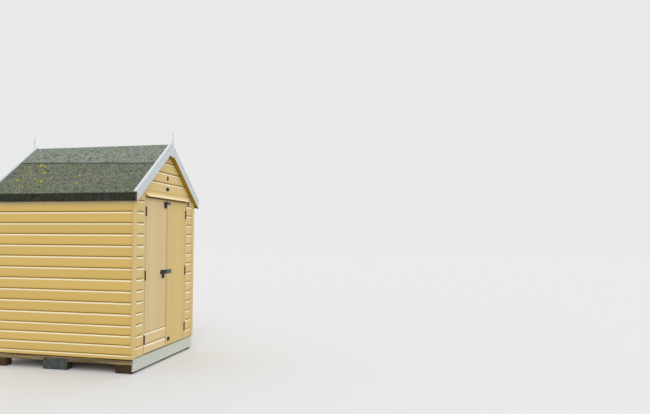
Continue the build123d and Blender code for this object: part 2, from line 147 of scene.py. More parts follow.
def makePiece(name, parts, finish, stands=(), arris=0.0, body="hut", thick=0.0, others=(), slotName=None):
    # Joins the parts in one mesh. Solids have their faces turned outwards, and their arrises softened by
    # arris mm. A surface is made thick inwards. Faces that look in one of the others' directions take the
    # finish that goes with it.
    faces, shift = [], 0
    for part in parts:
        for corners in part["faces"]:
            faces += (corners + shift).tolist()
        shift += len(part["points"])
    mesh = bpy.data.meshes.new(name)
    mesh.from_pydata(np.concatenate([part["points"] for part in parts]) * mm, [], faces)
    for key, kind, field in (("boardSpace", "FLOAT_VECTOR", "vector"), ("boardTone", "FLOAT", "value"),
                             ("boardHollow", "FLOAT", "value")):
        values = np.concatenate([np.ravel(part[key]) for part in parts]).astype(np.float32)
        mesh.attributes.new(key, kind, "POINT").data.foreach_set(field, values)
    if not thick:
        work = bmesh.new()
        work.from_mesh(mesh)
        bmesh.ops.recalc_face_normals(work, faces=work.faces)
        work.to_mesh(mesh)
        work.free()
    mesh.shade_smooth()
    mesh.set_sharp_from_angle(angle=radians(making["smooth"]))
    piece = bpy.data.objects.new(name, mesh)
    bpy.context.scene.collection.objects.link(piece)
    if arris:
        soft = piece.modifiers.new("arris", "BEVEL")
        soft.width, soft.segments = arris * mm, making["softSteps"]
        soft.limit_method, soft.angle_limit = "ANGLE", radians(making["softAngle"])
    if thick:
        wall = piece.modifiers.new("thickness", "SOLIDIFY")
        wall.thickness, wall.offset = thick * mm, -1
    mesh.materials.append(finishes[finish])
    if others:
        normals = np.empty(3 * len(mesh.polygons), np.float32)
        mesh.polygons.foreach_get("normal", normals)
        place = np.zeros(len(mesh.polygons), np.int32)
        for number, (direction, otherFinish) in enumerate(others, 1):
            mesh.materials.append(finishes[otherFinish])
            place[normals.reshape(-1, 3) @ np.array(direction, float) > making["facing"]] = number
        mesh.polygons.foreach_set("material_index", place)
    slotName = slotName or looks[finish][0]
    if stands:
        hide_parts(*stands)
    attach(piece, body)
    return piece


def outlineRings(outline, plane, stops):
    # An outline in one plane, carried square to it through the stops.
    first, second, run = {"yz": (1, 2, 0), "xz": (0, 2, 1), "xy": (0, 1, 2)}[plane]
    outline, stops = np.asarray(outline, float), np.asarray(stops, float)
    rings = np.empty((len(stops), len(outline), 3))
    rings[..., first], rings[..., second] = outline[:, 0], outline[:, 1]
    rings[..., run] = stops[:, None]
    return rings


def bar(x0, x1, y0, y1, z0, z1, along, stations):
    # A square-cut length of timber, as outlines along its grain.
    spans = {"x": (x0, x1), "y": (y0, y1), "z": (z0, z1)}
    run = spans.pop(along)
    (a0, a1), (b0, b1) = spans.values()
    return outlineRings([(a0, b0), (a1, b0), (a1, b1), (a0, b1)], "".join(spans), np.linspace(*run, stations))


def turnedRings(profile, centres, facing, sides):
    # A profile of radius and height turned about the line through each centre that points the way it faces.
    profile, centres = np.asarray(profile, float), np.asarray(centres, float)
    facing = np.asarray(facing, float) / np.linalg.norm(facing)
    across = np.cross(facing, (0, 0, 1) if abs(facing[2]) < 0.9 else (1, 0, 0))
    across /= np.linalg.norm(across)
    turn = np.linspace(0, 2 * pi, sides, endpoint=False)
    circle = np.cos(turn)[:, None] * across + np.sin(turn)[:, None] * np.cross(facing, across)
    shape = profile[:, 0, None, None] * circle + profile[:, 1, None, None] * facing
    return centres[:, None, None] + shape[None]


def pipeRings(path, radius):
    # A circle carried along a path of points, square to the path's direction at each of them.
    path = np.asarray(path, float)
    ahead = np.gradient(path, axis=0)
    ahead /= np.linalg.norm(ahead, axis=1, keepdims=True)
    square = np.cross(ahead[0], ahead[len(path) // 2])
    if np.linalg.norm(square) < 1e-6:
        square = np.cross(ahead[0], (0, 0, 1) if abs(ahead[0][2]) < 0.9 else (1, 0, 0))
    square = np.broadcast_to(square / np.linalg.norm(square), ahead.shape)
    other = np.cross(ahead, square)
    turn = np.linspace(0, 2 * pi, 12, endpoint=False)[None, :, None]
    return path[:, None] + radius * (np.cos(turn) * square[:, None] + np.sin(turn) * other[:, None])


def roundedOutline(x0, x1, z0, z1, radius):
    # A rectangle with a quarter circle at each corner.
    turn = np.linspace(0, pi / 2, 5)
    centres = [(x1 - radius, z1 - radius, 0), (x0 + radius, z1 - radius, 1),
               (x0 + radius, z0 + radius, 2), (x1 - radius, z0 + radius, 3)]
    return np.concatenate([
        np.stack([x + radius * np.cos(turn + q * pi / 2), z + radius * np.sin(turn + q * pi / 2)], -1)
        for x, z, q in centres])


# Profiles of radius and height above the wood
heads = {
    "nail": [(3.2, -0.6), (3.2, 0.2), (2.5, 0.55), (1.2, 0.7)],
    "screw": [(4.2, -0.5), (4.2, 0.5), (3.4, 1.3), (1.9, 1.5), (1.5, 0.9)],
    "clout": [(4.5, -0.8), (4.5, 0.5), (2.5, 0.9)],
    "largeScrew": [(8, -1), (8, 0.3), (7, 0.7), (4.4, 0.9), (2.6, 0.2)],
}


def nailsAt(spots, grain, chance, lightAndDirt=0.12, facing=(0, -1, 0), head="nail"):
    # Nail heads turned about their spots, with a little dirt on them.
    return carry(turnedRings(heads[head], spots, facing, 8), grain, chance, lightAndDirt)


def screwsAt(spots, chance, facing=(0, -1, 0), head="screw", grain="x"):
    # Screw heads turned about their spots.
    return carry(turnedRings(heads[head], spots, facing, 10), grain, chance)


def plateAt(chance, x0, x1, z0, z1, radius, near, far=front):
    # A flat plate with rounded corners, its face at near and its back at far.
    return carry(outlineRings(roundedOutline(x0, x1, z0, z1, radius), "xz", [near, far]), "x", chance)


def smoothStep(value):
    # Three times the square less twice the cube, of what is held between nought and one.
    value = np.clip(value, 0, 1)
    return value * value * (3 - 2 * value)


# Shader groups

def addNode(tree, kind, inputs=(), **settings):
    # A node with its settings. Each input is a value or another node's output.
    node = tree.nodes.new("ShaderNode" + kind)
    for key, value in settings.items():
        setattr(node, key, value)
    for key, item in dict(inputs).items():
        if isinstance(item, bpy.types.NodeSocket):
            tree.links.new(item, node.inputs[key])
        else:
            node.inputs[key].default_value = item
    return node


def noise(tree, vector, stretch, detail=3.0, rough=0.55, twist=0.0):
    # Noise whose cells are as long, high and deep as one over the stretch.
    place = addNode(tree, "VectorMath", {0: vector, 1: stretch}, operation="MULTIPLY").outputs[0]
    amounts = {"Scale": 1.0, "Detail": detail, "Roughness": rough, "Distortion": twist}
    return addNode(tree, "TexNoise", {"Vector": place, **amounts}).outputs[0]


def ramp(tree, value, low, high, first=0.0, last=1.0):
    # The value's stretch from low to high, spread over first to last.
    limits = {"From Min": low, "From Max": high, "To Min": first, "To Max": last}
    return addNode(tree, "MapRange", {"Value": value, **limits}, interpolation_type="SMOOTHSTEP").outputs[0]


def reckon(tree, operation, first, second):
    return addNode(tree, "Math", {0: first, 1: second}, operation=operation).outputs[0]


def sums(tree):
    # Short names for adding, taking away and multiplying on one tree.
    return [lambda first, second, kind=kind: reckon(tree, kind, first, second)
            for kind in ("ADD", "SUBTRACT", "MULTIPLY")]


def scaleColour(tree, colour, amount):
    return addNode(tree, "VectorMath", {0: colour, "Scale": amount}, operation="SCALE").outputs[0]


def blendColour(tree, amount, first, second, mode="MIX"):
    inputs = {0: amount, 6: first, 7: second}
    return addNode(tree, "Mix", inputs, data_type="RGBA", blend_type=mode, clamp_factor=True).outputs[2]


def newGroup(name, colours, amounts, extra=()):
    # A group with inputs for colours, a position and amounts. It gives a colour, a roughness and a height.
    tree = bpy.data.node_groups.new(name, "ShaderNodeTree")
    sockets = [(label, "INPUT", "Color") for label in colours] + [("Position", "INPUT", "Vector")]
    sockets += [(label, "INPUT", "Float") for label in amounts] + [("Colour", "OUTPUT", "Color")]
    sockets += [(label, "OUTPUT", "Float") for label in ("Roughness", *extra, "Height")]
    for label, way, kind in sockets:
        tree.interface.new_socket(label, in_out=way, socket_type=f"NodeSocket{kind}")
    return tree, tree.nodes.new("NodeGroupInput").outputs


def putOut(tree, results):
    out = tree.nodes.new("NodeGroupOutput")
    for label, result in results.items():
        tree.links.new(result, out.inputs[label])
    return tree


def paintGroup():
    # Brushed paint on wood: the colour times slow blotches and brush lines. Above nought the attribute
    # darkens it towards the second colour, for dirt on nails and in specks and for painted shade in recesses,
    # joints and edges; above one it goes on to a near-black painted shade, and below nought it pales towards
    # a cream painted highlight.
    tree, given = newGroup("paintCoat", ("Paint", "DirtAndShade", "PaintedHighlight"), ("Hollow", "Tone", "Brush", "Blotch"))
    plus, minus, times = sums(tree)
    place, lightAndDirt = given["Position"], given["Hollow"]
    brush = noise(tree, place, (2.2, 150, 150), 4)
    blotch = noise(tree, place, (1.6, 7, 7), 3)
    peel = noise(tree, place, (260, 420, 420), 2)
    light = plus(times(minus(brush, 0.5), given["Brush"]), times(minus(blotch, 0.5), given["Blotch"]))
    light = plus(light, plus(times(minus(given["Tone"], 0.5), 0.07), 1.0))
    # Painted highlight: below nought the paint pales towards cream.
    paintedHighlight = times(reckon(tree, "MAXIMUM", times(lightAndDirt, -1.0), 0.0), 0.95)
    lit = scaleColour(tree, blendColour(tree, paintedHighlight, given["Paint"], given["PaintedHighlight"]), light)
    speck = ramp(tree, noise(tree, place, (35, 60, 60), 5), 0.62, 0.78)
    # Above nought, dirt and painted shade; above one, a near-black painted shade.
    held = plus(lightAndDirt, times(speck, 0.10))
    shadedAndStained = blendColour(tree, held, lit, given["DirtAndShade"])
    return putOut(tree, {
        "Colour": blendColour(tree, minus(lightAndDirt, 1.0), shadedAndStained, (0.012, 0.007, 0.004, 1)),
        "Roughness": plus(plus(times(blotch, 0.24), 0.36), times(held, 0.2)),
        "Height": plus(times(brush, 0.8), times(peel, 0.25)),
    })


def timberGroup():
    # Sawn softwood: long streaks of grain bent round slow waves, finer fibres over them, and greying. Its
    # dirt is mottled by the square of how weathered it is.
    tree, given = newGroup("sawnTimber", ("Pale", "Dark", "Grey"), ("Tone", "Weather"))
    plus, minus, times = sums(tree)
    place, weather = given["Position"], given["Weather"]
    streak = noise(tree, place, (1.3, 38, 38), 5, 0.6, 0.5)
    fibre = noise(tree, place, (8, 420, 420), 3)
    stain = noise(tree, place, (3, 9, 9), 4)
    base = blendColour(tree, ramp(tree, streak, 0.36, 0.66), given["Pale"], given["Dark"])
    base = blendColour(tree, times(ramp(tree, stain, 0.30, 0.62), weather), base, given["Grey"])
    mottle = minus(noise(tree, place, (45, 65, 65), 4, 0.8), 0.5)
    dirt = times(reckon(tree, "POWER", weather, 2), 6)
    shade = plus(plus(times(fibre, 0.34), 0.83), times(mottle, dirt))
    shade = plus(shade, times(minus(given["Tone"], 0.5), 0.2))
    return putOut(tree, {
        "Colour": scaleColour(tree, base, shade),
        "Roughness": ramp(tree, fibre, 0.2, 0.8, 0.68, 0.88),
        "Height": plus(times(streak, 0.9), times(fibre, 0.5)),
    })


def feltGroup():
    # Mineral felt: granules of several greys, mottled growth and crusts a few mm wide, streaks that run
    # down the slope, and a thin green over slow patches.
    tree, given = newGroup("mineralFelt", ("Dark", "Pale", "Growth"), ("Hollow", "Streaks", "Green"))
    plus, _, times = sums(tree)
    place = given["Position"]
    grit = addNode(tree, "TexVoronoi", {"Vector": place, "Scale": 240.0}, feature="F1").outputs["Color"]
    grain = addNode(tree, "SeparateColor", {0: grit}).outputs[0]
    mottle = noise(tree, place, (24, 50, 50), 5, 0.9)
    streak = noise(tree, place, (2.4, 26, 26), 4, 0.6)
    patch = noise(tree, place, (4, 4, 4), 4, 0.6)
    crust = noise(tree, place, (36, 60, 60), 3, 0.6)
    moss = ramp(tree, noise(tree, place, (12, 19, 19), 3, 0.7), 0.57, 0.66)
    mix = plus(plus(times(grain, 0.22), times(mottle, 2.6)), times(streak, given["Streaks"]))
    mix = plus(ramp(tree, mix, 1.38, 1.86), ramp(tree, crust, 0.56, 0.68))
    base = blendColour(tree, mix, given["Dark"], given["Pale"])
    base = blendColour(tree, times(ramp(tree, patch, 0.42, 0.68), given["Green"]), base, given["Growth"])
    base = blendColour(tree, times(moss, 0.8), base, (0.020, 0.020, 0.011, 1))
    # Where the attribute is high the felt darkens, a painted shade on the eaves fold and along the edges of
    # the ridge sheet.
    return putOut(tree, {
        "Colour": blendColour(tree, given["Hollow"], base, (0.10, 0.11, 0.09, 1), "MULTIPLY"),
        "Roughness": ramp(tree, grain, 0.0, 1.0, 0.78, 0.96),
        "Height": plus(grain, times(mottle, 1.6)),
    })


def metalGroup():
    # Weathered metal: a mottled skin, with rust or chalk where a slower noise is high.
    tree, given = newGroup("weatheredMetal", ("Skin", "Bloom"), ("Size", "Cover"), ["Mask"])
    plus, _, times = sums(tree)
    place = scaleColour(tree, given["Position"], given["Size"])
    mottle = noise(tree, place, (1, 1, 1), 4)
    slow = noise(tree, place, (0.3, 0.3, 0.3), 5, 0.7)
    mask = times(ramp(tree, slow, 0.46, 0.66), given["Cover"])
    skinLit = scaleColour(tree, given["Skin"], ramp(tree, mottle, 0.2, 0.8, 0.75, 1.3))
    return putOut(tree, {
        "Colour": blendColour(tree, mask, skinLit, given["Bloom"]),
        "Roughness": plus(ramp(tree, mottle, 0.2, 0.8, 0.36, 0.55), times(mask, 0.3)),
        "Mask": mask, "Height": mottle,
    })


# reads are the board attributes that each coat takes, and usual what its other inputs are unless given.
coats = {
    "paint": {"group": paintGroup(), "inputs": ("Paint", "DirtAndShade", "Brush", "Blotch"),
              "reads": ("Hollow", "Tone"),
              # The pale cream is the colour of the painted highlight.
              "usual": {"Brush": 0.05, "Blotch": 0.07, "PaintedHighlight": (0.97, 0.92, 0.72)},
              "specular": 0.35, "bump": 0.25, "depth": 0.0006},
    "timber": {"group": timberGroup(), "inputs": ("Pale", "Dark", "Grey", "Weather"), "reads": ("Tone",),
               "usual": {"Tone": 0.5}, "specular": 0.25, "bump": 0.5, "depth": 0.0012},
    "felt": {"group": feltGroup(), "inputs": ("Dark", "Pale", "Growth", "Streaks", "Green"),
             "reads": ("Hollow",), "usual": {}, "specular": 0.3, "bump": 0.7, "depth": 0.0016},
    "metal": {"group": metalGroup(), "inputs": ("Skin", "Bloom", "Size", "Cover"), "reads": (),
              "usual": {}, "specular": 0.3, "bump": 0.35, "depth": 0.0006},
}

# Each finish: the record's slot, its coat, the coat's inputs, and for metal how metallic it is where clean.
bare = ((0.60, 0.42, 0.23), (0.42, 0.26, 0.12), (0.40, 0.34, 0.26), 0.25)
looks = {
    "claddingPaint": ("cladding_paint", "paint", (0.74, 0.51, 0.152), (0.28, 0.175, 0.010)),
    "frontPaint": ("cladding_paint", "paint", (0.735, 0.55, 0.238), (0.28, 0.165, 0.025)),
    "leftLeafPaint": ("door_paint", "paint", (0.72, 0.545, 0.29), (0.26, 0.16, 0.04)),
    "rightLeafPaint": ("door_paint", "paint", (0.71, 0.525, 0.207), (0.26, 0.16, 0.03)),
    "whitePaint": ("white_paint", "paint", (0.625, 0.685, 0.72), (0.24, 0.25, 0.24), 0.04, 0.12),
    "capPaint": ("white_paint", "paint", (0.60, 0.64, 0.67), (0.30, 0.30, 0.28), 0.04, 0.10),
    "plinthPaint": ("plinth_paint", "paint", (0.625, 0.66, 0.585), (0.20, 0.17, 0.12), 0.05, 0.12),
    # The soffit paint is the wall yellow made darker and deeper, a painted shade under the verges and barges.
    "shadedSoffitPaint": ("cladding_paint", "paint", (0.49, 0.295, 0.002), (0.10, 0.055, 0.001)),
    "roofFelt": ("roof_felt", "felt", (0.024, 0.029, 0.017), (0.215, 0.237, 0.176), (0.105, 0.13, 0.055),
                 0.45, 0.35),
    "ridgeSheetFelt": ("roof_felt", "felt", (0.044, 0.055, 0.044), (0.298, 0.335, 0.282),
                       (0.16, 0.19, 0.10), 0.5, 0.3),
    "lichen": ("roof_felt", "felt", (0.34, 0.25, 0.002), (0.62, 0.46, 0.004), (0.25, 0.28, 0.02), 0.2, 0.3),
    "bareTimber": ("bare_timber", "timber", *bare),
    "bareTimberAcross": ("bare_timber", "timber", *bare),
    "bareTimberLong": ("bare_timber", "timber", *bare),
    "bareTimberUpright": ("bare_timber", "timber", *bare),
    # The eaves timber is a dark saturated yellow, a painted shade under the eaves.
    "shadedEavesTimber": ("bare_timber", "timber", (0.34, 0.21, 0.006), (0.16, 0.10, 0.004), (0.20, 0.14, 0.03),
                    0.4),
    "bareEnd": ("bare_timber", "timber", (0.21, 0.118, 0.07), (0.10, 0.055, 0.03), (0.17, 0.12, 0.09), 0.3),
    "weatheredTimber": ("weathered_timber", "timber", (0.40, 0.29, 0.13), (0.060, 0.038, 0.016),
                        (0.27, 0.205, 0.12), 0.55),
    "darkTimber": ("dark_timber", "timber", (0.060, 0.033, 0.014), (0.012, 0.007, 0.003),
                   (0.070, 0.044, 0.022), 0.6),
    "galvanisedSteel": ("galvanised_steel", "metal", (0.060, 0.070, 0.066), (0.13, 0.14, 0.12), 60.0, 0.6,
                        0.2),
    "paleSteel": ("galvanised_steel", "metal", (0.20, 0.22, 0.21), (0.09, 0.08, 0.06), 60.0, 0.6, 0.1),
    "greyIron": ("black_iron", "metal", (0.11, 0.125, 0.12), (0.035, 0.040, 0.038), 60.0, 0.7, 0.0),
    "blackIron": ("black_iron", "metal", (0.009, 0.009, 0.009), (0.030, 0.022, 0.015), 90.0, 0.45, 0.0),
    "hingeIron": ("black_iron", "metal", (0.006, 0.004, 0.003), (0.020, 0.010, 0.005), 90.0, 0.45, 0.0),
    "blackIronHinge": ("black_iron", "metal", (0.010, 0.007, 0.005), (0.030, 0.016, 0.008), 90.0, 0.45, 0.0),
    "padlockEnamel": ("padlock_enamel", "metal", (0.006, 0.007, 0.040), (0.02, 0.02, 0.045), 70.0, 0.4, 0.0),
}
bumps = {"darkTimber": 0.9}

# Boards carry their own grain space. Nodes kept from the CAD use object space, turned to their grain.
quarter = radians(90)
turns = {
    "bareTimberAcross": (0, 0, 0), "bareTimberLong": (0, 0, -quarter), "bareTimberUpright": (0, quarter, 0),
    "shadedEavesTimber": (0, 0, -quarter), "blackIronHinge": (0, 0, 0),
}


def startFinish(name, roughness=0.6, specular=0.5):
    finish = bpy.data.materials.new(name)
    finish.use_nodes = True
    shader = finish.node_tree.nodes["Principled BSDF"]
    shader.inputs["Roughness"].default_value = roughness
    shader.inputs["Specular IOR Level"].default_value = specular
    return finish, finish.node_tree, shader.inputs


def makeFinish(name, kind, *given):
    # A coat's group with this finish's colours and amounts, and a bump of its height.
    coat = coats[kind]
    finish, tree, shader = startFinish(name, specular=coat["specular"])
    inputs = {**coat["usual"], **dict(zip(coat["inputs"], given))}
    inputs = {label: (*item, 1) if isinstance(item, tuple) else item for label, item in inputs.items()}
    if name in turns:
        place = addNode(tree, "TexCoord").outputs["Object"]
        inputs["Position"] = addNode(tree, "Mapping", {"Vector": place, "Rotation": turns[name]}).outputs[0]
    else:
        inputs["Position"] = addNode(tree, "Attribute", attribute_name="boardSpace").outputs["Vector"]
        for label in coat["reads"]:
            inputs[label] = addNode(tree, "Attribute", attribute_name="board" + label).outputs["Fac"]
    made = addNode(tree, "Group", (), node_tree=coat["group"])
    for label, item in inputs.items():
        if isinstance(item, bpy.types.NodeSocket):
            tree.links.new(item, made.inputs[label])
        else:
            made.inputs[label].default_value = item
    amounts = {"Strength": bumps.get(name, coat["bump"]), "Distance": coat["depth"]}
    relief = addNode(tree, "Bump", {"Height": made.outputs["Height"], **amounts}).outputs[0]
    tree.links.new(made.outputs["Colour"], shader["Base Color"])
    tree.links.new(made.outputs["Roughness"], shader["Roughness"])
    tree.links.new(relief, shader["Normal"])
    if kind == "metal":
        clean = reckon(tree, "SUBTRACT", 1.0, made.outputs["Mask"])
        tree.links.new(reckon(tree, "MULTIPLY", clean, given[-1]), shader["Metallic"])
    return finish


finishes = {name: makeFinish(name, *look[1:]) for name, look in looks.items()}
print("finishes made")


# Shiplap walls

shiplap = {
    "lipInside": 13.4, "lipFoot": 17.2, "lipBevel": 3.6, "tongue": 12.2, "upstand": 6.0, "cove": 15.0,
    "lap": 7.0, "rebate": 9.0, "back": 1.0, "bow": 0.5, "warp": 0.35, "coveSteps": 7, "least": 0.2,
    "face": np.array([0.0, 0.25, 0.5, 0.75, 0.91, 0.95, 1.0]),
    # The cove is paled low down, a painted highlight, and darkened high up, painted shade under the lip with
    # some dirt.
    "coveLightAndDirt": np.array([-1, -1, -0.8, -0.3, 0.4, 0.9]),
}
walls = {
    "sideNails": [-951, -317, 317, 951], "backNails": [-700, -230, 230, 700],
    "gableNails": [-480, -250, 0, 250, 480], "frontNail": 26, "nailUp": 26, "nailAlong": 4, "nailHigh": 3,
    "backEdge": 40, "gableEdge": 45, "finialHalf": 30, "underRoof": 2, "filler": 8,
    # Where the boards are painted lighter under the eaves, a painted light against their shade, and palest at
    # the top, a painted highlight: from what height, over how much, and by how much
    "lighter": (1800, 300, 3.0), "palest": (1960, 60, 0.25),
    "fillerStops": [0, 1.5, 3.5, 6, 9, 22, 60, 100, 140, 153, 156, 158.5, 160.5, 162, 174, 186, 198, 210.0],
}


def shiplapRings(feet, tops, stops, place, reach=None, fill=0, flatTop=True):
    # Section of each board from its lip, up a face that dishes by half a sine, into a quarter-ellipse cove
    # and up the tongue that the next board covers. stops run along it, times the reach at each height.
    # fill rounds off the cove at a stop, and a flat top board has none.
    s = shiplap
    feet, tops = np.asarray(feet, float)[:, None, None], np.asarray(tops, float)[:, None, None]
    coved = np.ones_like(tops)
    coved[-1] = 0 if flatTop else 1
    stops = np.asarray(stops, float)[None, :, None]
    cut = coved * (1 - np.broadcast_to(fill, stops.shape[1])[None, :, None])
    turn, face = np.linspace(0, pi / 2, s["coveSteps"])[None, None], s["face"][None, None]
    deep = (skin - s["tongue"]) * cut
    low, high = feet + s["lipBevel"], tops - (s["upstand"] + s["cove"]) * coved
    coveHeights = tops - s["upstand"] * coved - s["cove"] * coved * np.cos(turn)
    tongueTop = tops + s["lap"] * coved
    # The lip's underside, the foot of the face and the deep top of the cove are darkened, painted shade under
    # the lip with some dirt; the lower cove and the top of the face are paled, a painted highlight.
    rows = [
        (s["lipInside"], feet, 0.9),
        (s["lipFoot"], feet, 0.75),
        (skin - s["bow"] * np.sin(pi * face), low + (high - low) * face,
         0.15 * (face < 0.01) - (face > 0.94) * cut),
        (skin - deep * np.sin(turn)[..., 1:], coveHeights[..., 1:], s["coveLightAndDirt"] * cut),
        (skin - deep, tops - 0.5, cut),
        (skin - (skin - s["tongue"]) * np.maximum(coved, s["least"]), tongueTop, 1.0),
        (s["back"], tongueTop, 1.0),
        (s["back"], feet + s["rebate"], 1.0),
        (s["lipInside"], feet + s["rebate"], 1.0),
    ]
    blank = np.zeros(np.broadcast_shapes(feet.shape, stops.shape))
    depth, height, lightAndDirt = (np.concatenate([blank + row[item] for row in rows], 2) for item in range(3))
    length = stops * (reach(height) if reach else 1.0) + 0 * height
    return place(depth, length, height), lightAndDirt


def jointLevels(bottom, top, narrow=False):
    # Joints are set out from the common one, and the repaired feet of the side walls have narrower boards.
    levels = hut["joint"] + hut["cover"] * np.arange(-20, 10)
    if narrow:
        start = hut["joint"] - hut["repairs"] * hut["cover"]
        repaired = start - hut["repairCover"] * np.arange(3, 0, -1)
        levels = np.concatenate([repaired, levels[levels > start - 1]])
    levels = levels[(levels > bottom + 17) & (levels < top - 8)]
    return np.concatenate([[bottom], levels]), np.concatenate([levels, [top]])


def nailGrid(feet, places):
    # A nail over each support in every board: how far along, and how high.
    return np.tile(places, len(feet)), np.repeat(feet + walls["nailUp"], len(places))


def onFront(along, heights):
    # Nail places on the face of the front wall.
    return np.stack([along, np.full(len(along), front - 0.1), heights], -1)


inwards = [((0, 1, 0), "bareTimber")]  # boards of the front are bare inside


def wallBoards():
    # Shiplap courses: along the side walls a sine of length plus height warps them inwards, and those of the
    # ends stop at the slope of the roof.
    chance = np.random.default_rng(11)
    feet, tops = jointLevels(hut["skirt"], roofLine(side, roofUnder) - 1, True)
    stops = np.linspace(-1, 1, 9)
    for name, way in (("left", -1), ("right", 1)):
        def place(depth, length, height, way=way):
            warp = shiplap["warp"] * np.sin(length * 0.0041 + height * 0.013)
            return np.stack([way * (frameSide + depth + np.minimum(warp, 0)), length, height], -1)

        rings, lightAndDirt = shiplapRings(feet, tops, stops * frameEnd, place)
        along, heights = nailGrid(feet, walls["sideNails"])
        along = along + chance.normal(0, walls["nailAlong"], len(along))
        heights = heights + chance.normal(0, walls["nailHigh"], len(along))
        spots = np.stack([np.full(len(along), way * (side + 0.1)), along, heights], -1)
        nails = nailsAt(spots, "y", chance, facing=(way, 0, 0))
        # Under the eaves the boards are painted lighter, a painted light against the shade of the eaves, and
        # paler still over the last 80 mm, a painted highlight.
        level, span, amount = walls["lighter"]
        eavesPaintedLight = amount * smoothStep((feet - level) / span)[:, None, None]
        level, span, amount = walls["palest"]
        lightAndDirt = lightAndDirt - amount * smoothStep((rings[..., 2] - level) / span) * (lightAndDirt <= 0.2)
        boards = carry(rings, "y", chance, lightAndDirt, eavesPaintedLight)
        makePiece(f"{name}WallBoards", [boards, nails], "claddingPaint", [f"{name}_wall"],
                  others=[((-way, 0, 0), "bareTimber")])

    def reach(height):
        return np.clip((roofUnder - height) / rise, 1, side)

    def behind(depth, length, height):
        return np.stack([-length, frameEnd + depth, height], -1)

    def before(depth, length, height):
        return np.stack([length, -frameEnd - depth, height], -1)

    feet, tops = jointLevels(hut["skirt"], roofUnder - walls["underRoof"])
    rings, lightAndDirt = shiplapRings(feet, tops, stops, behind, reach)
    along, heights = nailGrid(feet, walls["backNails"])
    keep = np.abs(along) < reach(heights) - walls["backEdge"]
    spots = np.stack([along, np.full(len(along), end + 0.1), heights], -1)[keep]
    spots[:, 0] += chance.normal(0, walls["nailAlong"], len(spots))
    nails = nailsAt(spots, "x", chance, facing=(0, 1, 0))
    makePiece("backWallBoards", [carry(rings, "x", chance, lightAndDirt), nails], "claddingPaint", ["back_wall"],
              others=[((0, -1, 0), "bareTimber")])

    feet, tops = jointLevels(hut["gable"], roofUnder - walls["underRoof"])
    rings, lightAndDirt = shiplapRings(feet, tops, stops, before, reach)
    along, heights = nailGrid(feet, walls["gableNails"])
    keep = (np.abs(along) < reach(heights) - walls["gableEdge"]) & (np.abs(along) > walls["finialHalf"])
    nails = nailsAt(onFront(along, heights)[keep], "x", chance)
    makePiece("gableBoards", [carry(rings, "x", chance, lightAndDirt), nails], "frontPaint", ["front_gable"],
              others=inwards)

    # Filler rounds off each cove where it meets the post and the corner board.
    near, cover = hut["postSide"], side + corners["proud"] - corners["front"]
    stops, soft = near + np.array(walls["fillerStops"]), walls["filler"]
    fill = 1 - smoothStep((stops - near) / soft) * smoothStep((cover - stops) / soft)
    feet, tops = jointLevels(hut["floor"], hut["gable"])
    for name, way in (("left", -1), ("right", 1)):
        def place(depth, length, height, way=way):
            # The top board is planed down to pass under the roof.
            low, high = height.min(2, keepdims=True), height.max(2, keepdims=True)
            room = np.minimum(1, (roofLine(length, roofUnder) - 1 - low) / (high - low))
            return np.stack([way * length, -frameEnd - depth, low + (height - low) * room], -1)

        rings, lightAndDirt = shiplapRings(feet, tops, stops, place, None, fill, False)
        along, heights = nailGrid(feet, np.array([near + walls["frontNail"], cover - walls["frontNail"]]))
        nails = nailsAt(onFront(way * along, heights), "x", chance)
        makePiece(f"frontBoards{name.title()}", [carry(rings, "x", chance, lightAndDirt), nails], "frontPaint",
                  [f"front_wall_{name}"], others=inwards)
    print("walls made")


corners = {"front": 58, "side": 28, "proud": 10, "arris": 2.2}
verge = {"width": 84, "thick": 20, "cap": 44, "capThick": 16, "arris": 2.0, "batten": 61, "gap": 0.3,
         "nails": (70, 300, 560, 800), "nailPairs": ((0, 0), (8, 40)), "nailDown": 22, "nailDirt": 0.35}


def cornerBoards():
    # Square bars whose tops follow the slope of the roof.
    chance = np.random.default_rng(12)
    outer, face = side + corners["proud"], end + corners["proud"]
    parts = []
    for x0, x1, y0, y1, short in (
        (outer - corners["front"], outer, -face, front, verge["batten"]),
        (side, outer, front, -face + corners["side"], 0),
    ):
        rings = bar(x0, x1, y0, y1, hut["floor"], 0, "z", 6)
        top = roofLine(rings[..., 0], roofUnder) - short * lean - 0.5
        rings[..., 2] = hut["floor"] + (top - hut["floor"]) * np.linspace(0, 1, 6)[:, None]
        parts += fourCorners(carry(rings, "z", chance), chance)
    makePiece("cornerBoards", parts, "frontPaint", ["corner_boards"], corners["arris"])
    print("corners made")


# Across and up each leaf from the meeting line, and how its boards are nailed
leaf = {
    "inner": 3, "outer": 509, "foot": 184, "top": 2087, "boards": 5, "thick": 20,
    "patch": 258, "patchBoard": 142, "ledge": 92, "inset": 26, "ledgeThick": 20, "brace": 80, "hinge": 170,
    # topEdgeShade darkens the top edge of each leaf, a painted shade under the head.
    "nails": ((-24, -22), (26, 24)), "screws": (-24, 24), "nailDirt": 0.10, "topEdgeShade": 0.9,
    "patchNails": (-40, -180, -330, -470), "patchNailLevels": (212, 262, 328, 398),
    # Each leaf's name, its hand, the vees between its boards and the bevel at the meeting line
    "leaves": [("left", -1, 1.6, 2.4), ("right", 1, 0.7, 1.5)],
}
leafRear = front + leaf["thick"]
leafBoard = (leaf["outer"] - leaf["inner"]) / leaf["boards"]
# stain darkens the paint beside the hinges to near-black, a painted shade.
hinge = {"x": 511.5, "y": -996, "height": 112, "knuckles": 3, "radius": 7.0, "stain": 2.0}

lowHinge, highHinge = leaf["foot"] + leaf["hinge"], leaf["top"] - leaf["hinge"]
hingeLevels = [lowHinge, (lowHinge + highHinge) / 2, highHinge]
hingeShadeStops = [height + np.array([-60, -56, 56, 60.0]) for height in hingeLevels]


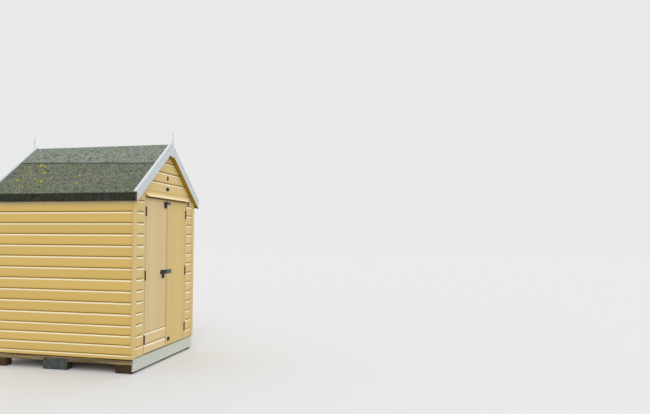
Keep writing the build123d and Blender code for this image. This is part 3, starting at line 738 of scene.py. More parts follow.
def hingePaintedShade(stops):
    # Near-black painted shade beside the hinges, and a lighter painted shadow of the gap between them.
    beside = np.abs(stops[:, None] - hingeLevels).min(1) < hinge["height"] / 2 + 1
    return np.where(beside, hinge["stain"], 0.3)[:, None]


doorway = {"depth": 65, "stop": 13, "stopFront": 25, "sill": 20, "dripHalf": 526, "dripFoot": 2097,
           "dripHeight": 56, "dripHollow": (13, 33), "dripOut": 45, "dripNose": 14, "arris": 1.4}


def doorwayPieces():
    # The posts' plan carried up, and the sections of the head, drip board and sill carried across.
    chance = np.random.default_rng(13)
    d = doorway
    near, far, headFoot = hut["doorSide"], hut["postSide"], hut["head"]
    inner, stopFront = front + d["depth"], front + d["stopFront"]
    plan = [(near, front), (near + 11, front), (far, front), (far, inner), (near - d["stop"], inner),
            (near - d["stop"], stopFront), (near, stopFront)]
    stops = np.sort(np.concatenate([[hut["floor"], headFoot]] + hingeShadeStops))
    # The posts' front edges are darkened beside the hinges and along the gap, a painted shade.
    dark = hingePaintedShade(stops) * np.array([1, 0, 0, 0, 0, 0, 1.0])
    post = carry(outlineRings(plan, "xy", stops), "z", chance, dark)
    makePiece("doorPosts", [post, mirrored(post, chance)], "frontPaint", ["door_posts"], d["arris"])

    section = [(front, headFoot), (front, headFoot + 7), (front, hut["gable"]), (inner, hut["gable"]),
               (inner, headFoot - d["stop"]), (stopFront, headFoot - d["stop"]), (stopFront, headFoot)]
    # The head's lower edges are darkened, a painted shade over the tops of the leaves.
    dark = np.array([1, 0.3, 0, 0, 0, 0.6, 1])
    head = carry(outlineRings(section, "yz", np.linspace(-far, far, 5)), "x", chance, dark)
    makePiece("doorHead", [head], "frontPaint", ["door_head"], d["arris"])

    # The drip board has a hollowed top, its nose paled as a painted highlight, and a groove underneath,
    # darkened with the back foot as painted shade.
    foot, nose = d["dripFoot"], front - d["dripOut"]
    out, high = d["dripHollow"]
    section = [
        (front, foot), (front, foot + d["dripHeight"]), (front - out, foot + high), (nose + 14, foot + 20),
        (nose + 2.2, foot + d["dripNose"]), (nose, foot + d["dripNose"] - 2.6), (nose, foot + 3),
        (nose + 2, foot), (nose + 9, foot), (nose + 10.5, foot + 2.5), (nose + 13.5, foot + 2.5),
        (nose + 15, foot),
    ]
    dark = np.array([1, 0, -0.25, -0.7, -0.9, -0.9, 0, 1, 1, 1, 1, 1])
    stops = np.linspace(-d["dripHalf"], d["dripHalf"], 5)
    drip = carry(outlineRings(section, "yz", stops), "x", chance, dark)
    makePiece("dripBoard", [drip], "frontPaint", ["drip_board"], 1.2)

    reach = near - d["stop"]
    sill = bar(-reach, reach, stopFront, inner, hut["floor"], hut["floor"] + d["sill"], "x", 3)
    sill = carry(sill, "x", chance)
    makePiece("doorSill", [sill], "bareTimber", ["door_sill"], 1.5)
    print("doorway made")


def leafBoards(bottom, vee, meeting, chance):
    # Tongued boards side by side, each with its front edges taken off so that two make a vee. Painted shade
    # darkens the vees, the meeting edge and the top edge under the head, and near-black painted shade the
    # outer edge beside the hinges, with a lighter painted shadow of the gap between them.
    stops = np.concatenate([np.linspace(bottom, leaf["top"], 7), [leaf["top"] - 5]] + hingeShadeStops)
    stops = np.unique(stops[stops >= bottom])
    rings = []
    for number in range(leaf["boards"]):
        x0, x1 = leaf["inner"] + number * leafBoard, leaf["inner"] + (number + 1) * leafBoard
        first = vee if number else meeting
        last = vee if number < leaf["boards"] - 1 else 1.4
        outline = [
            (x0, front + first), (x0 + first, front), (x0 + 0.5 * leafBoard, front + 0.25), (x1 - 11, front),
            (x1 - last, front), (x1, front + last), (x1, leafRear), (x0, leafRear),
        ]
        rings.append(outlineRings(outline, "xy", stops))
    rings = np.array(rings)
    dark = np.zeros(rings.shape[:3])
    dark[..., [0, 5]] = 0.22 * vee
    dark[0, :, [0, 1, 7]] = np.array([0.6, 0.15, 1.0])[:, None]
    dark[:, -1, :] = leaf["topEdgeShade"]
    dark[-1, :, 4:7] = hingePaintedShade(stops)
    return carry(rings, "z", chance, dark)


def doorLeaves():
    # Two leaves of boards on ledges and braces, the shiplap foot of the left one, and the hinges' knuckles.
    chance = np.random.default_rng(14)
    patchTop = leaf["foot"] + leaf["patch"]
    middles = leaf["inner"] + leafBoard * (np.arange(leaf["boards"]) + 0.5)
    inner, outer = leaf["inner"] + leaf["inset"], leaf["outer"] - leaf["inset"]
    half, deep, wide = leaf["ledge"] / 2, leafRear + leaf["ledgeThick"], leaf["brace"]
    for name, way, vee, meeting in leaf["leaves"]:
        def hand(part, way=way):
            return handed(part, way, chance)

        body = f"{name}_door"
        bottom = patchTop if name == "left" else leaf["foot"]
        boards = leafBoards(bottom, vee, meeting, chance)
        spots = np.array([(x + dx, front - 0.1, z + dz) for z in hingeLevels for x in middles
                          for dx, dz in leaf["nails"] if z - 30 > bottom])
        spots[:, ::2] += chance.normal(0, 2, (len(spots), 2))
        nails = nailsAt(spots, "z", chance, leaf["nailDirt"])
        makePiece(f"{name}LeafBoards", [hand(boards), hand(nails)], f"{name}LeafPaint",
                  [f"{name}_door_boards"], body=body, others=inwards)

        ledges = [carry(bar(inner, outer, leafRear, deep, z - half, z + half, "x", 3), "x", chance)
                  for z in hingeLevels]
        spots = np.array([(x + dx, deep + 0.1, z + dz) for z in hingeLevels for x in middles[[0, 2, 4]]
                          for dx, dz in zip((0, 0), leaf["screws"])])
        screws = screwsAt(spots, chance, (0, 1, 0))
        braces = []
        for low, high in zip(hingeLevels[:-1], hingeLevels[1:]):
            foot, head = low + half, high - half
            outline = [(outer, foot), (outer, foot + wide), (inner + wide, head), (inner, head),
                       (inner, head - wide), (outer - wide, foot)]
            braces.append(carry(outlineRings(outline, "xz", [leafRear, deep]), "fall", chance))
        ledges, braces, screws = [hand(p) for p in ledges], [hand(p) for p in braces], hand(screws)
        makePiece(f"{name}LeafLedges", ledges, "bareTimber", [f"{name}_door_ledges"], 2.0, body)
        makePiece(f"{name}LeafBraces", braces, "bareTimber", [f"{name}_door_braces"], 2.0, body)
        makePiece(f"{name}LedgeScrews", [screws], "galvanisedSteel", body=body)

    # The foot of the left leaf is made good with two shiplap boards, coved like the walls.
    def place(depth, length, height):
        return np.stack([-length, leafRear - depth, height], -1)

    joint = patchTop - leaf["patchBoard"]
    spots = [leaf["inner"], leaf["inner"] + 1.5, leaf["inner"] + 5, 60, 150, 256, 350, 450, leaf["outer"]]
    rings, lightAndDirt = shiplapRings([leaf["foot"], joint], [joint, patchTop], spots, place, flatTop=False)
    rings[..., 2] = np.minimum(rings[..., 2], patchTop - 0.2)
    spots = [(x, front - 0.1, z) for x in leaf["patchNails"] for z in leaf["patchNailLevels"]]
    nails = nailsAt(spots, "x", chance, leaf["nailDirt"])
    makePiece("leftLeafPatch", [carry(rings, "x", chance, lightAndDirt, 1.0), nails], "leftLeafPaint",
              ["left_door_patch"], body="left_door", others=inwards)

    # Knuckles with softened ends stand round the pins, and each pin has a domed head and foot.
    step, r = hinge["height"] / hinge["knuckles"], hinge["radius"]
    dome = [(5.2, -0.8), (5.0, 1.0), (3.6, 2.6), (1.4, 3.2)]
    for name, body, sides, spans in (
        ("frameKnuckles", "hut", (-1, 1), (0, 2)), ("leftKnuckles", "left_door", (-1,), (1,)),
        ("rightKnuckles", "right_door", (1,), (1,)),
    ):
        parts = []
        for n in spans:
            low = n * step - hinge["height"] / 2
            profile = [(r - 1, low + 0.4), (r, low + 1.3), (r, low + step - 1.3), (r - 1, low + step - 0.4)]
            spots = np.array([(way * hinge["x"], hinge["y"], z) for way in sides for z in hingeLevels])
            parts.append(carry(turnedRings(profile, spots, (0, 0, 1), 14), "z", chance))
            if body == "hut":
                up = 1 if n else -1
                spots = spots + (0, 0, up * hinge["height"] / 2)
                parts.append(carry(turnedRings(dome, spots, (0, 0, up), 12), "z", chance))
        makePiece(name, parts, "hingeIron", body=body)
    print("leaves made")


def vergePieces():
    # Outlines in the plane of the gable, from the ridge down the slope, carried through their thickness.
    chance = np.random.default_rng(15)
    face, inner = -hut["verge"], -hut["verge"] + verge["thick"]
    drop, far = verge["width"] * lean, hut["eave"]
    gap = verge["gap"]
    outline = [(gap, ridge), (far, roofLine(far)), (far, roofLine(far) - drop), (gap, ridge - drop)]
    board = carry(outlineRings(outline, "xz", [face, inner]), "fall", chance)
    top = ridge + verge["capThick"] * lean
    tail = far + verge["capThick"] * pitchSin
    outline = [(gap, ridge), (far, roofLine(far)), (tail, roofLine(tail, top)), (gap, top)]
    cap = carry(outlineRings(outline, "xz", [face, face + verge["cap"]]), "fall", chance)

    # A batten fills the space between each barge and the wall, as far as the corner board.
    deep, reach = verge["batten"] * lean, side + corners["proud"]
    foot = roofLine(reach, roofUnder)
    outline = [(gap, roofUnder - gap), (reach, foot - gap), (reach, foot - deep), (gap, roofUnder - deep)]
    # Both edges of each batten, along the barge and along the wall, are darkened to near-black, a painted
    # shade.
    dark = np.array([1.5, 0, 0, 1.5])[:, None]
    batten = carry(outlineRings(outline, "xz", [inner, inner + 8, front - 12, front]), "fall", chance, dark)
    makePiece("vergeBattens", fourCorners(batten, chance), "shadedSoffitPaint", ["verge_battens"], 1.5)

    # Pairs of nails hold each barge to the ends of the roof boards.
    runs = np.array(verge["nails"]) * pitchCos
    spots = np.array([(x * 1.15 + dx, face - 0.1, roofLine(x * 1.15 + dx) - (verge["nailDown"] + dz) * lean)
                      for x in runs for dx, dz in verge["nailPairs"] if x * 1.15 < far - 25])
    nails = nailsAt(spots, "fall", chance, verge["nailDirt"])
    for name, way in (("Right", 1), ("Left", -1)):
        def hand(part, way=way):
            return handed(part, way, chance)

        parts = [hand(board), turned(hand(board), chance), hand(nails), turned(hand(nails), chance)]
        # The barges' white undersides take the darkened ochre of the soffit, a painted shade with a painted
        # reflection of the yellow walls.
        makePiece(f"bargeBoards{name}", parts, "whitePaint", [f"barge_boards_{name.lower()}"], verge["arris"],
                  others=[((0, 0, -1), "shadedSoffitPaint"), ((way, 0, 0), "bareEnd")])
        makePiece(f"vergeCaps{name}", [hand(cap), turned(hand(cap), chance)], "capPaint",
                  [f"verge_caps_{name.lower()}"], verge["arris"])
    print("verges made")


finial = {"drop": 178, "length": 340, "rise": 22, "foot": 102, "ridge": 16, "tip": 9, "thick": 12}


def finialPieces():
    # A spike whose half-width follows its height: shallow point, wide foot, slender neck and fine tip.
    chance = np.random.default_rng(16)
    foot = ridge - finial["drop"]
    tip = foot + finial["length"]
    heights = np.array([foot, foot + finial["rise"], ridge, tip - 2, tip])
    halves = np.array([0.8, finial["foot"] / 2, finial["ridge"] / 2, finial["tip"] / 2, 3.0])
    right = np.stack([halves, heights], -1)
    outline = np.concatenate([right, right[::-1] * (-1, 1)])
    face = -hut["verge"]
    spike = carry(outlineRings(outline, "xz", [face - finial["thick"], face]), "z", chance)
    makePiece("finialSpikes", [spike, turned(spike, chance)], "whitePaint", ["finials"], 1.6)
    print("finials made")


roof = {
    "felt": 4, "feltThick": 3.4, "sheetThick": 3.8, "half": 1030, "bend": 9, "lap": 416, "lapSlant": -0.04,
    "sheetEnd": 1006, "ridgeBend": 7.0, "wave": 1.0, "planks": 10, "plankGap": 0.8,
    "clouts": 25, "cloutEnd": 960, "cloutIn": 18,
}


def slopeSheet(way, chance):
    # Felt down one slope, round the eaves and down to its lower edge. u runs along the hut and v down it.
    y = np.linspace(-roof["half"] + 1, roof["half"] - 1, 90)[:, None]
    far, bend = hut["eave"], roof["bend"]
    turn = np.linspace(0, pi / 2 - hut["pitch"], 8)[1:]
    centreX = far - bend
    centreZ = roofLine(0) - bend * lean - centreX * rise
    arcX = centreX + bend * np.sin(hut["pitch"] + turn)
    arcZ = centreZ + bend * np.cos(hut["pitch"] + turn)
    slope = np.linspace(2, far - bend * 0.62, 70)
    slope = slope[slope < centreX + bend * pitchSin - 3]
    fall = np.linspace(arcZ[-1], hut["eaveFoot"] + 2, 14)[1:]
    x = np.concatenate([slope, arcX, np.full(len(fall), far)])[None]
    z = np.concatenate([roofLine(slope), arcZ, fall])[None]
    down = np.concatenate([np.zeros(len(slope)), np.linspace(0, 1, len(arcX)), np.ones(len(fall))])[None]

    # The slope lifts by sines of both directions, the eaves ripple, and the lower edge is cut a little wavy.
    wave = roof["wave"] * (np.sin(y * 0.0061 + x * 0.004) + 0.7 * np.sin(y * 0.017 + 1.3) * np.sin(x * 0.011))
    ripple = 1.2 * np.sin(y * 0.031 + 0.4) * (z < hut["eaveFoot"] + 40) - 1.2
    lift = np.minimum(wave - 1.0, 0.6)
    last = (np.sin(y * 0.009) + np.sin(y * 0.023 + 2)) * 1.2
    grid = np.empty((len(y), x.shape[1], 3))
    grid[..., 0] = way * (x + (lift * pitchSin * (1 - down) + ripple * down))
    grid[..., 1] = y + 0 * x
    grid[..., 2] = z + lift * pitchCos * (1 - down)
    grid[..., 2] = grid[..., 2] + np.where(z < hut["eaveFoot"] + 12, last + 1.5, 0)
    # The fold round the eaves and its drop are darkened, a painted shade.
    lightAndDirt = down * 0.88 + 0 * y
    return sheetOf(grid[::-1] if way > 0 else grid, "fall", chance, lightAndDirt)


def ridgeGrid(chance):
    # One sheet over the ridge: distance down the slope on one hand to the same on the other, bent at the top.
    y = np.linspace(-roof["sheetEnd"], roof["sheetEnd"], 100)[:, None]
    runs = [np.linspace(-1, -0.03, 40), np.linspace(-0.02, 0.02, 5), np.linspace(0.03, 1, 40)]
    share = np.concatenate(runs)[None]
    reach = roof["lap"] + roof["lapSlant"] * y + 1.6 * np.sin(y * 0.021) + 1.0 * np.sin(y * 0.063)
    s, soft = share * reach, roof["ridgeBend"]
    x = s * pitchCos
    z = roofLine(0) - rise * (np.sqrt(x * x + soft * soft) - soft * 0.4) + roof["felt"] * lean
    edge = smoothStep((np.abs(share) - 0.93) / 0.07)
    lift = 0.8 * np.sin(y * 0.0085 + np.sign(s)) * np.sin(s * 0.012)
    lift = lift + edge * (0.8 + 0.8 * np.sin(y * 0.027 + 1))
    grid = np.stack([x + 0 * y, y + 0 * x, z + lift * pitchCos], -1)
    # The sheet's lower edges are darkened, a painted shadow along the lap.
    lightAndDirt = 0.75 * smoothStep((np.abs(share) - 0.975) / 0.02) + 0 * y
    return sheetOf(grid[:, ::-1], "fall", chance, lightAndDirt)


# Across the hut, along it, and the radius. Those on the other slope, and the smallest, are guessed.
lichenSpots = [
    (-333, 654, 33), (-464, 493, 30), (-584, 781, 27), (-650, -127, 23), (-609, 408, 25), (-530, -72, 21),
    (-205, 887, 20), (-350, 818, 20), (-360, 558, 17), (-603, 475, 17), (-563, 549, 17), (-700, 603, 17),
    (-569, 296, 16), (-605, -164, 15), (-263, 610, 15), (-497, -138, 14), (-674, 411, 14), (-710, -119, 13),
    (-669, 675, 14), (-447, 703, 14), (-493, 726, 13), (-490, 623, 12), (-403, 581, 12), (-616, 661, 12),
    (-665, -558, 11), (-457, -125, 11), (-605, -370, 11), (-603, -614, 10), (-621, 819, 10), (-610, 549, 9),
    (-661, 489, 9), (-521, 750, 9), (-723, 663, 9),
]


def lichenPatches(chance):
    # Low mounds with lobed edges, pressed on the felt: radius times one plus two waves round the rim.
    extra = [(150 + 620 * a, 950 - 1500 * b * b, 7 + 17 * c * c) for a, b, c in chance.uniform(0, 1, (34, 3))]
    near = [(-(250 + 530 * a), 950 - 1300 * b, 3 + 4 * c) for a, b, c in chance.uniform(0, 1, (24, 3))]
    spots = np.array(lichenSpots + extra + near, float)
    x0, y0, size = spots[:, :1], spots[:, 1:2], spots[:, 2:]
    turn = np.linspace(0, 2 * pi, 16, endpoint=False)
    phase = chance.uniform(0, 6, (len(spots), 2, 1))
    lobes = 1 + 0.24 * np.sin(3 * turn + phase[:, 0]) + 0.16 * np.sin(7 * turn + phase[:, 1])
    sheet = np.where(np.abs(x0) < 316, roof["felt"], 0) * lean
    rings = []
    for scale, lift in ((1.0, -3.0), (1.0, 1.0), (0.85, 2.2), (0.4, 2.7)):
        radius = 0.72 * size * lobes * scale
        x = x0 + 1.2 * radius * np.sin(turn) * pitchCos
        rings.append(np.stack([x, y0 + radius * np.cos(turn), roofLine(x) + sheet + lift * lean], -1))
    return carry(np.stack(rings, 1), "fall", chance)


def roofPieces():
    # Felt, its nails and lichen, and below them boards side by side down each slope.
    chance = np.random.default_rng(17)
    for name, way in (("Left", -1), ("Right", 1)):
        makePiece(f"roofFelt{name}", [slopeSheet(way, chance)], "roofFelt", [f"roof_felt_{name.lower()}"],
                  thick=roof["feltThick"])
    makePiece("ridgeSheet", [ridgeGrid(chance)], "ridgeSheetFelt", ["ridge_felt"], thick=roof["sheetThick"])

    # Clout nails along the lower edge of the ridge sheet.
    y = np.linspace(-roof["cloutEnd"], roof["cloutEnd"], roof["clouts"])
    reach = (roof["lap"] + roof["lapSlant"] * y - roof["cloutIn"]) * pitchCos
    z = roofLine(reach) + (roof["felt"] + 0.5) * lean
    spots = np.stack([reach, y + chance.normal(0, 5, len(y)), z], -1)
    clouts = nailsAt(spots, "fall", chance, 0.0, (pitchSin, 0, pitchCos), "clout")
    makePiece("feltNails", [clouts, mirrored(clouts, chance)], "galvanisedSteel")
    makePiece("lichenPatches", [lichenPatches(chance)], "lichen")

    # The ends of the boards at the verge are painted, in a darkened yellow that is painted shade.
    top = ridge - (roof["felt"] + 0.2) * lean
    stops = np.linspace(0, hut["eave"] - roof["felt"], roof["planks"] + 1)
    for name, way in (("left", -1), ("right", 1)):
        parts, tips = [], []
        spans = ((parts, front + 2, end - 2), (tips, -roof["half"], front + 2), (tips, end - 2, roof["half"]))
        for x0, x1 in zip(stops[:-1] + roof["plankGap"], stops[1:] - roof["plankGap"]):
            outline = [(x0, roofLine(x0, top)), (x1, roofLine(x1, top)),
                       (x1, roofLine(x1, roofUnder)), (x0, roofLine(x0, roofUnder))]
            for group, y0, y1 in spans:
                plank = carry(outlineRings(outline, "xz", np.linspace(y0, y1, 3)), "y", chance)
                group.append(handed(plank, way, chance))
        makePiece(f"{name}RoofPlanks", parts, "bareTimber", [f"roof_boards_{name}"], 1.0)
        makePiece(f"{name}VergeSoffit", tips, "shadedSoffitPaint", [f"roof_boards_{name}"], 1.0)
    print("roof made")


base = {
    "block": 100, "blockLength": 215, "blockWidth": 105, "bearer": 60, "bearerWidth": 75, "setback": 5,
    "floorBoards": 14, "plateHalf": 164, "plateOffset": 50, "plateFoot": 3, "plateHeight": 134,
    "plateSteel": 3, "plateThick": 1.6, "plinthHalf": 728, "plinthFoot": 28, "plinthProud": 2,
    "plinthNails": (-690, -350, 0, 350, 690), "plinthNailLevels": (62, 142), "plinthDirt": 0.4,
    "bearerWear": 0.045, "blockWear": 0.06, "floorGap": 0.6,
}


def roughBar(x0, x1, y0, y1, z0, z1, chance, rough, stations=26):
    # A rounded outline carried along Y, eaten away by a few slow waves of each corner's own phase.
    turn = np.linspace(0, 2 * pi, 28, endpoint=False)
    a, b = (np.sign(wave) * np.abs(wave) ** 0.22 for wave in (np.cos(turn), np.sin(turn)))
    t = np.linspace(0, 1, stations)
    phase = chance.uniform(0, 6, (4, len(turn)))
    wave = sum(np.sin(2 * pi * t[:, None] * (k + 1) * 1.7 + phase[k]) / (k + 1) for k in range(4))
    worn = 1 - rough * (0.5 + 0.25 * wave) - 0.05 * np.maximum(0, 1 - np.minimum(t, 1 - t) * 40)[:, None]
    rings = np.empty((stations, len(turn), 3))
    rings[..., 0] = (x0 + x1) / 2 + (x1 - x0) / 2 * a * worn
    rings[..., 1] = y0 + (y1 - y0) * t[:, None]
    rings[..., 2] = (z0 + z1) / 2 + (z1 - z0) / 2 * b * worn
    return rings


def basePieces():
    # Worn bars for the blocks and bearers, a sprung plate, and plain boards for the floor and plinth.
    chance = np.random.default_rng(18)
    b = base
    outside = frameSide - b["setback"]
    foot, top = b["block"], b["block"] + b["bearer"]
    wide = b["bearerWidth"]
    bearers = []
    for x in (outside - wide, -wide / 2, -outside):
        rings = roughBar(x, x + wide, -frameEnd, frameEnd, foot, top, chance, b["bearerWear"], 60)
        bearers.append(carry(rings, "y", chance))
    makePiece("floorBearers", bearers, "weatheredTimber", ["floor_bearers"])

    wide, long = b["blockWidth"], b["blockLength"]
    blocks = [carry(roughBar(x, x + wide, y, y + long, 0, foot, chance, b["blockWear"]), "y", chance)
              for x in (outside - wide, -wide / 2, -outside) for y in (-frameEnd, -long / 2, frameEnd - long)]
    makePiece("supportBlocks", blocks, "darkTimber", ["support_blocks"])

    # A galvanised plate is screwed over the middle block on each side, with its edges a little sprung.
    u = np.linspace(-1, 1, 25)[:, None]
    v = np.linspace(0, 1, 13)[None]
    sprung = 0.9 * (1 - np.abs(u) ** 3) * np.sin(pi * v) + 0.25 * np.sin(5 * u + 3 * v)
    x = -(outside + b["plateSteel"] - 0.6 - np.clip(sprung, 0, 1.2) * 0.5) + 0 * u * v
    y = b["plateOffset"] - u * b["plateHalf"] + 0 * v
    grid = np.stack([x, y, b["plateFoot"] + v * b["plateHeight"] + 0 * u], -1)
    plate = sheetOf(grid, "y", chance)
    other = mirrored(plate, chance)
    other["faces"] = [faces[:, ::-1] for faces in other["faces"]]
    makePiece("coverPlates", [plate, other], "galvanisedSteel", ["block_cover_plates"], thick=b["plateThick"])
    edge = b["plateHalf"] - 16
    spots = [(-(outside + 2.2), b["plateOffset"] + dy, b["plateFoot"] + b["plateHeight"] - drop)
             for dy, drop in ((-edge, 13), (edge, 14))]
    screws = screwsAt(spots, chance, (-1, 0, 0), "largeScrew", "y")
    makePiece("plateScrews", [screws, mirrored(screws, chance)], "blackIron")

    step = 2 * frameEnd / b["floorBoards"]
    floor = []
    for y in -frameEnd + step * np.arange(b["floorBoards"]):
        y0, y1 = y + b["floorGap"], y + step - b["floorGap"]
        floor.append(carry(bar(-frameSide, frameSide, y0, y1, top, hut["floor"], "x", 5), "x", chance))
    # The planks' ends take the dark timber, a painted shade under the foot of the wall boards.
    makePiece("floorPlanks", floor, "bareTimber", ["floor_boards"], 1.2,
              others=[((1, 0, 0), "darkTimber"), ((-1, 0, 0), "darkTimber")])

    half, face = b["plinthHalf"], front - b["plinthProud"]
    low, high = b["plinthFoot"], hut["floor"] - 0.5
    outline = [(face, low), (-frameEnd, low), (-frameEnd, high), (face, high), (face, high - 9),
               (face, low + 14)]
    # The top is darkened, a painted shade in the gap under the leaves, and the foot is a little darker.
    lightAndDirt = np.array([0.2, 0.2, 1, 1, 0.1, 0])
    plinth = carry(outlineRings(outline, "yz", np.linspace(-half, half, 9)), "x", chance, lightAndDirt)
    spots = np.array([(x, face - 0.1, z) for x in b["plinthNails"] for z in b["plinthNailLevels"]], float)
    spots[:, 0] += chance.normal(0, 6, len(spots))
    nails = nailsAt(spots, "x", chance, b["plinthDirt"])
    makePiece("plinthBoard", [plinth, nails], "plinthPaint", ["front_plinth_board"], 1.8)
    print("base made")


locks = {
    "steel": 3, "stapleHalf": 8, "stapleRod": 5, "stapleReach": 20, "staplePlate": 44, "shackleRod": 6,
    "shackle": 13, "barrel": 4, "hang": 0.6, "gap": 2, "padlock": (42, 18, 46), "padlockCorner": 8,
    "collar": [(4.6, -1.5), (4.6, 1.4), (3.8, 2.0)],
    "keyCap": [(7.5, -2), (7.5, 0.5), (6.2, 1.2), (2.2, 0.9)],
    # Level, height, where the staple stands, how far the strap reaches, and the length of its hinge plate
    "hasps": [(1152, 54, 98, 155, 121), (2046, 36, 60, 86, 81)],
}


def hairpinPath(radius, leg):
    # Up one leg, round half a circle and down the other, in a plane, with the crown at the origin's height.
    turn = np.linspace(pi, 0, 14)
    crown = np.stack([radius * np.cos(turn), radius * np.sin(turn)], -1)
    first = np.stack([np.full(4, -radius), np.linspace(-leg, 0, 5)[:-1]], -1)
    return np.concatenate([first, crown, first[::-1] * (-1, 1)])


def lockPieces():
    # Rounded plates carried through their thickness, round bars along hairpins, and turned barrels and caps.
    chance = np.random.default_rng(19)
    k = locks
    straps, bodies, shackles, hinges, screws = [], [], [], [], []
    faceY = front - k["steel"]
    wide, thick, tall = k["padlock"]
    for level, high, offset, reach, length in k["hasps"]:
        x, half = -offset, k["staplePlate"] / 2
        low, top = level - high / 2, level + high / 2
        straps.append(plateAt(chance, x - half, x + half, low, top, 3, faceY))
        # The strap has one rounded end and is square at the meeting line.
        outline = roundedOutline(-reach, -1, low + 0.6, top - 0.6, 9)
        straight = outline[:, 0] > -12
        outline[straight, 0] = -1
        outline[straight, 1] = np.where(outline[straight, 1] > level, top - 0.6, low + 0.6)
        keep = np.concatenate([[True], np.abs(np.diff(outline, axis=0)).sum(1) > 1e-6])
        strapY = faceY - k["steel"]
        straps.append(carry(outlineRings(outline[keep], "xz", [strapY, faceY]), "x", chance))
        straps.append(plateAt(chance, -reach + 8, -4, level - 4, level + 4, 3.5, strapY - 0.9, strapY + 0.5))
        leg = k["stapleReach"] - k["stapleHalf"]
        path = hairpinPath(k["stapleHalf"], leg)
        path = np.stack([np.full(len(path), float(x)), front - (path[:, 1] + leg), level + path[:, 0]], -1)
        straps.append(carry(pipeRings(path, k["stapleRod"] / 2), "x", chance))

        y = front - 2 * k["steel"] - (k["stapleReach"] - 2 * k["steel"]) / 2
        crown = level - k["stapleHalf"] + k["stapleRod"] / 2 + k["hang"] + k["shackleRod"] / 2
        centre, bodyTop = crown - k["shackle"], low - k["gap"]
        path = hairpinPath(k["shackle"], centre - bodyTop)
        path = np.stack([x + path[:, 0], np.full(len(path), y), centre + path[:, 1]], -1)
        shackles.append(carry(pipeRings(path, k["shackleRod"] / 2), "z", chance))
        outline = roundedOutline(x - wide / 2, x + wide / 2, bodyTop - tall, bodyTop, k["padlockCorner"])
        middle = np.array([x, bodyTop - tall / 2])
        rings = outlineRings(outline, "xz", y - thick / 2 + thick * np.array([0.0, 0.18, 0.5, 0.82, 1.0]))
        shrink = np.array([0.90, 1.0, 1.0, 1.0, 0.90])[:, None, None]
        rings[..., ::2] = middle + (rings[..., ::2] - middle) * shrink
        bodies.append(carry(rings, "z", chance))
        for profile, spots, up, sides in (
            (k["collar"], [(x + dx, y, bodyTop) for dx in (-k["shackle"], k["shackle"])], 1, 12),
            (k["keyCap"], [(x, y, bodyTop - tall)], -1, 14),
        ):
            bodies.append(carry(turnedRings(profile, spots, (0, 0, up), sides), "z", chance))

        start, centreX = 4, 8
        hinges.append(plateAt(chance, centreX, start + length, low, top, 4, faceY))
        profile = [(3.2, -high / 2), (4, -high / 2 + 0.8), (4, high / 2 - 0.8), (3.2, high / 2)]
        barrel = turnedRings(profile, [(centreX, front - k["barrel"], level)], (0, 0, 1), 14)
        hinges.append(carry(barrel, "z", chance))
        screws += [(start + 12 + (length - 12) * share, faceY - 0.1, level + dz)
                   for share, dz in ((0.12, high / 4), (0.45, -high / 4), (0.82, high / 5))]
    makePiece("haspStraps", straps, "blackIron", ["left_door_hasps"], 0.5, "left_door")
    makePiece("padlockBodies", bodies, "padlockEnamel", ["left_door_padlocks"], 0.7, "left_door")
    makePiece("padlockShackles", shackles, "galvanisedSteel", ["left_door_padlocks"], body="left_door")
    makePiece("haspHinges", hinges, "greyIron", ["right_door_hasp_plates"], 0.5, "right_door")
    makePiece("haspScrews", [screwsAt(screws, chance)], "galvanisedSteel", body="right_door")
    print("locks made")


# Where each fitting is across and up the front, and how wide and tall
small = {
    "bolt": (76, 262, 58, 50), "oval": (0, 2372, 40, 68), "lower": (0, 2229.5, 76, 44),
    "hook": (580, 2085, 56, 66), "plate": 3, "rod": 4.5, "hookRod": 3.4,
    "knob": [(2.6, 0), (2.6, 7), (3.0, 8), (3.0, 11), (2.0, 11.8)],
    "ring": [(15, -0.5), (15, 3), (12.5, 3.6), (10.5, 2.6), (9, 0.6)],
    "pin": [(2.5, 0), (2.5, 14), (3.6, 14.5), (3.6, 16.5), (2.4, 17.3)],
    "ovalRims": ((1.0, 0), (1.0, 2.2), (0.94, 3.0), (0.78, 3.0), (0.72, 1.6), (0.30, 1.6), (0.12, 2.8)),
    "hookPath": [(0, 26), (0, 18), (0, 0), (0, -12), (1.2, -18.5), (5, -23), (10, -23.6), (14, -20),
                 (15.5, -14)],
}


def rectangle(spot):
    # The edges of a plate from its middle and size.
    x, z, wide, tall = spot
    return x - wide / 2, x + wide / 2, z - tall / 2, z + tall / 2


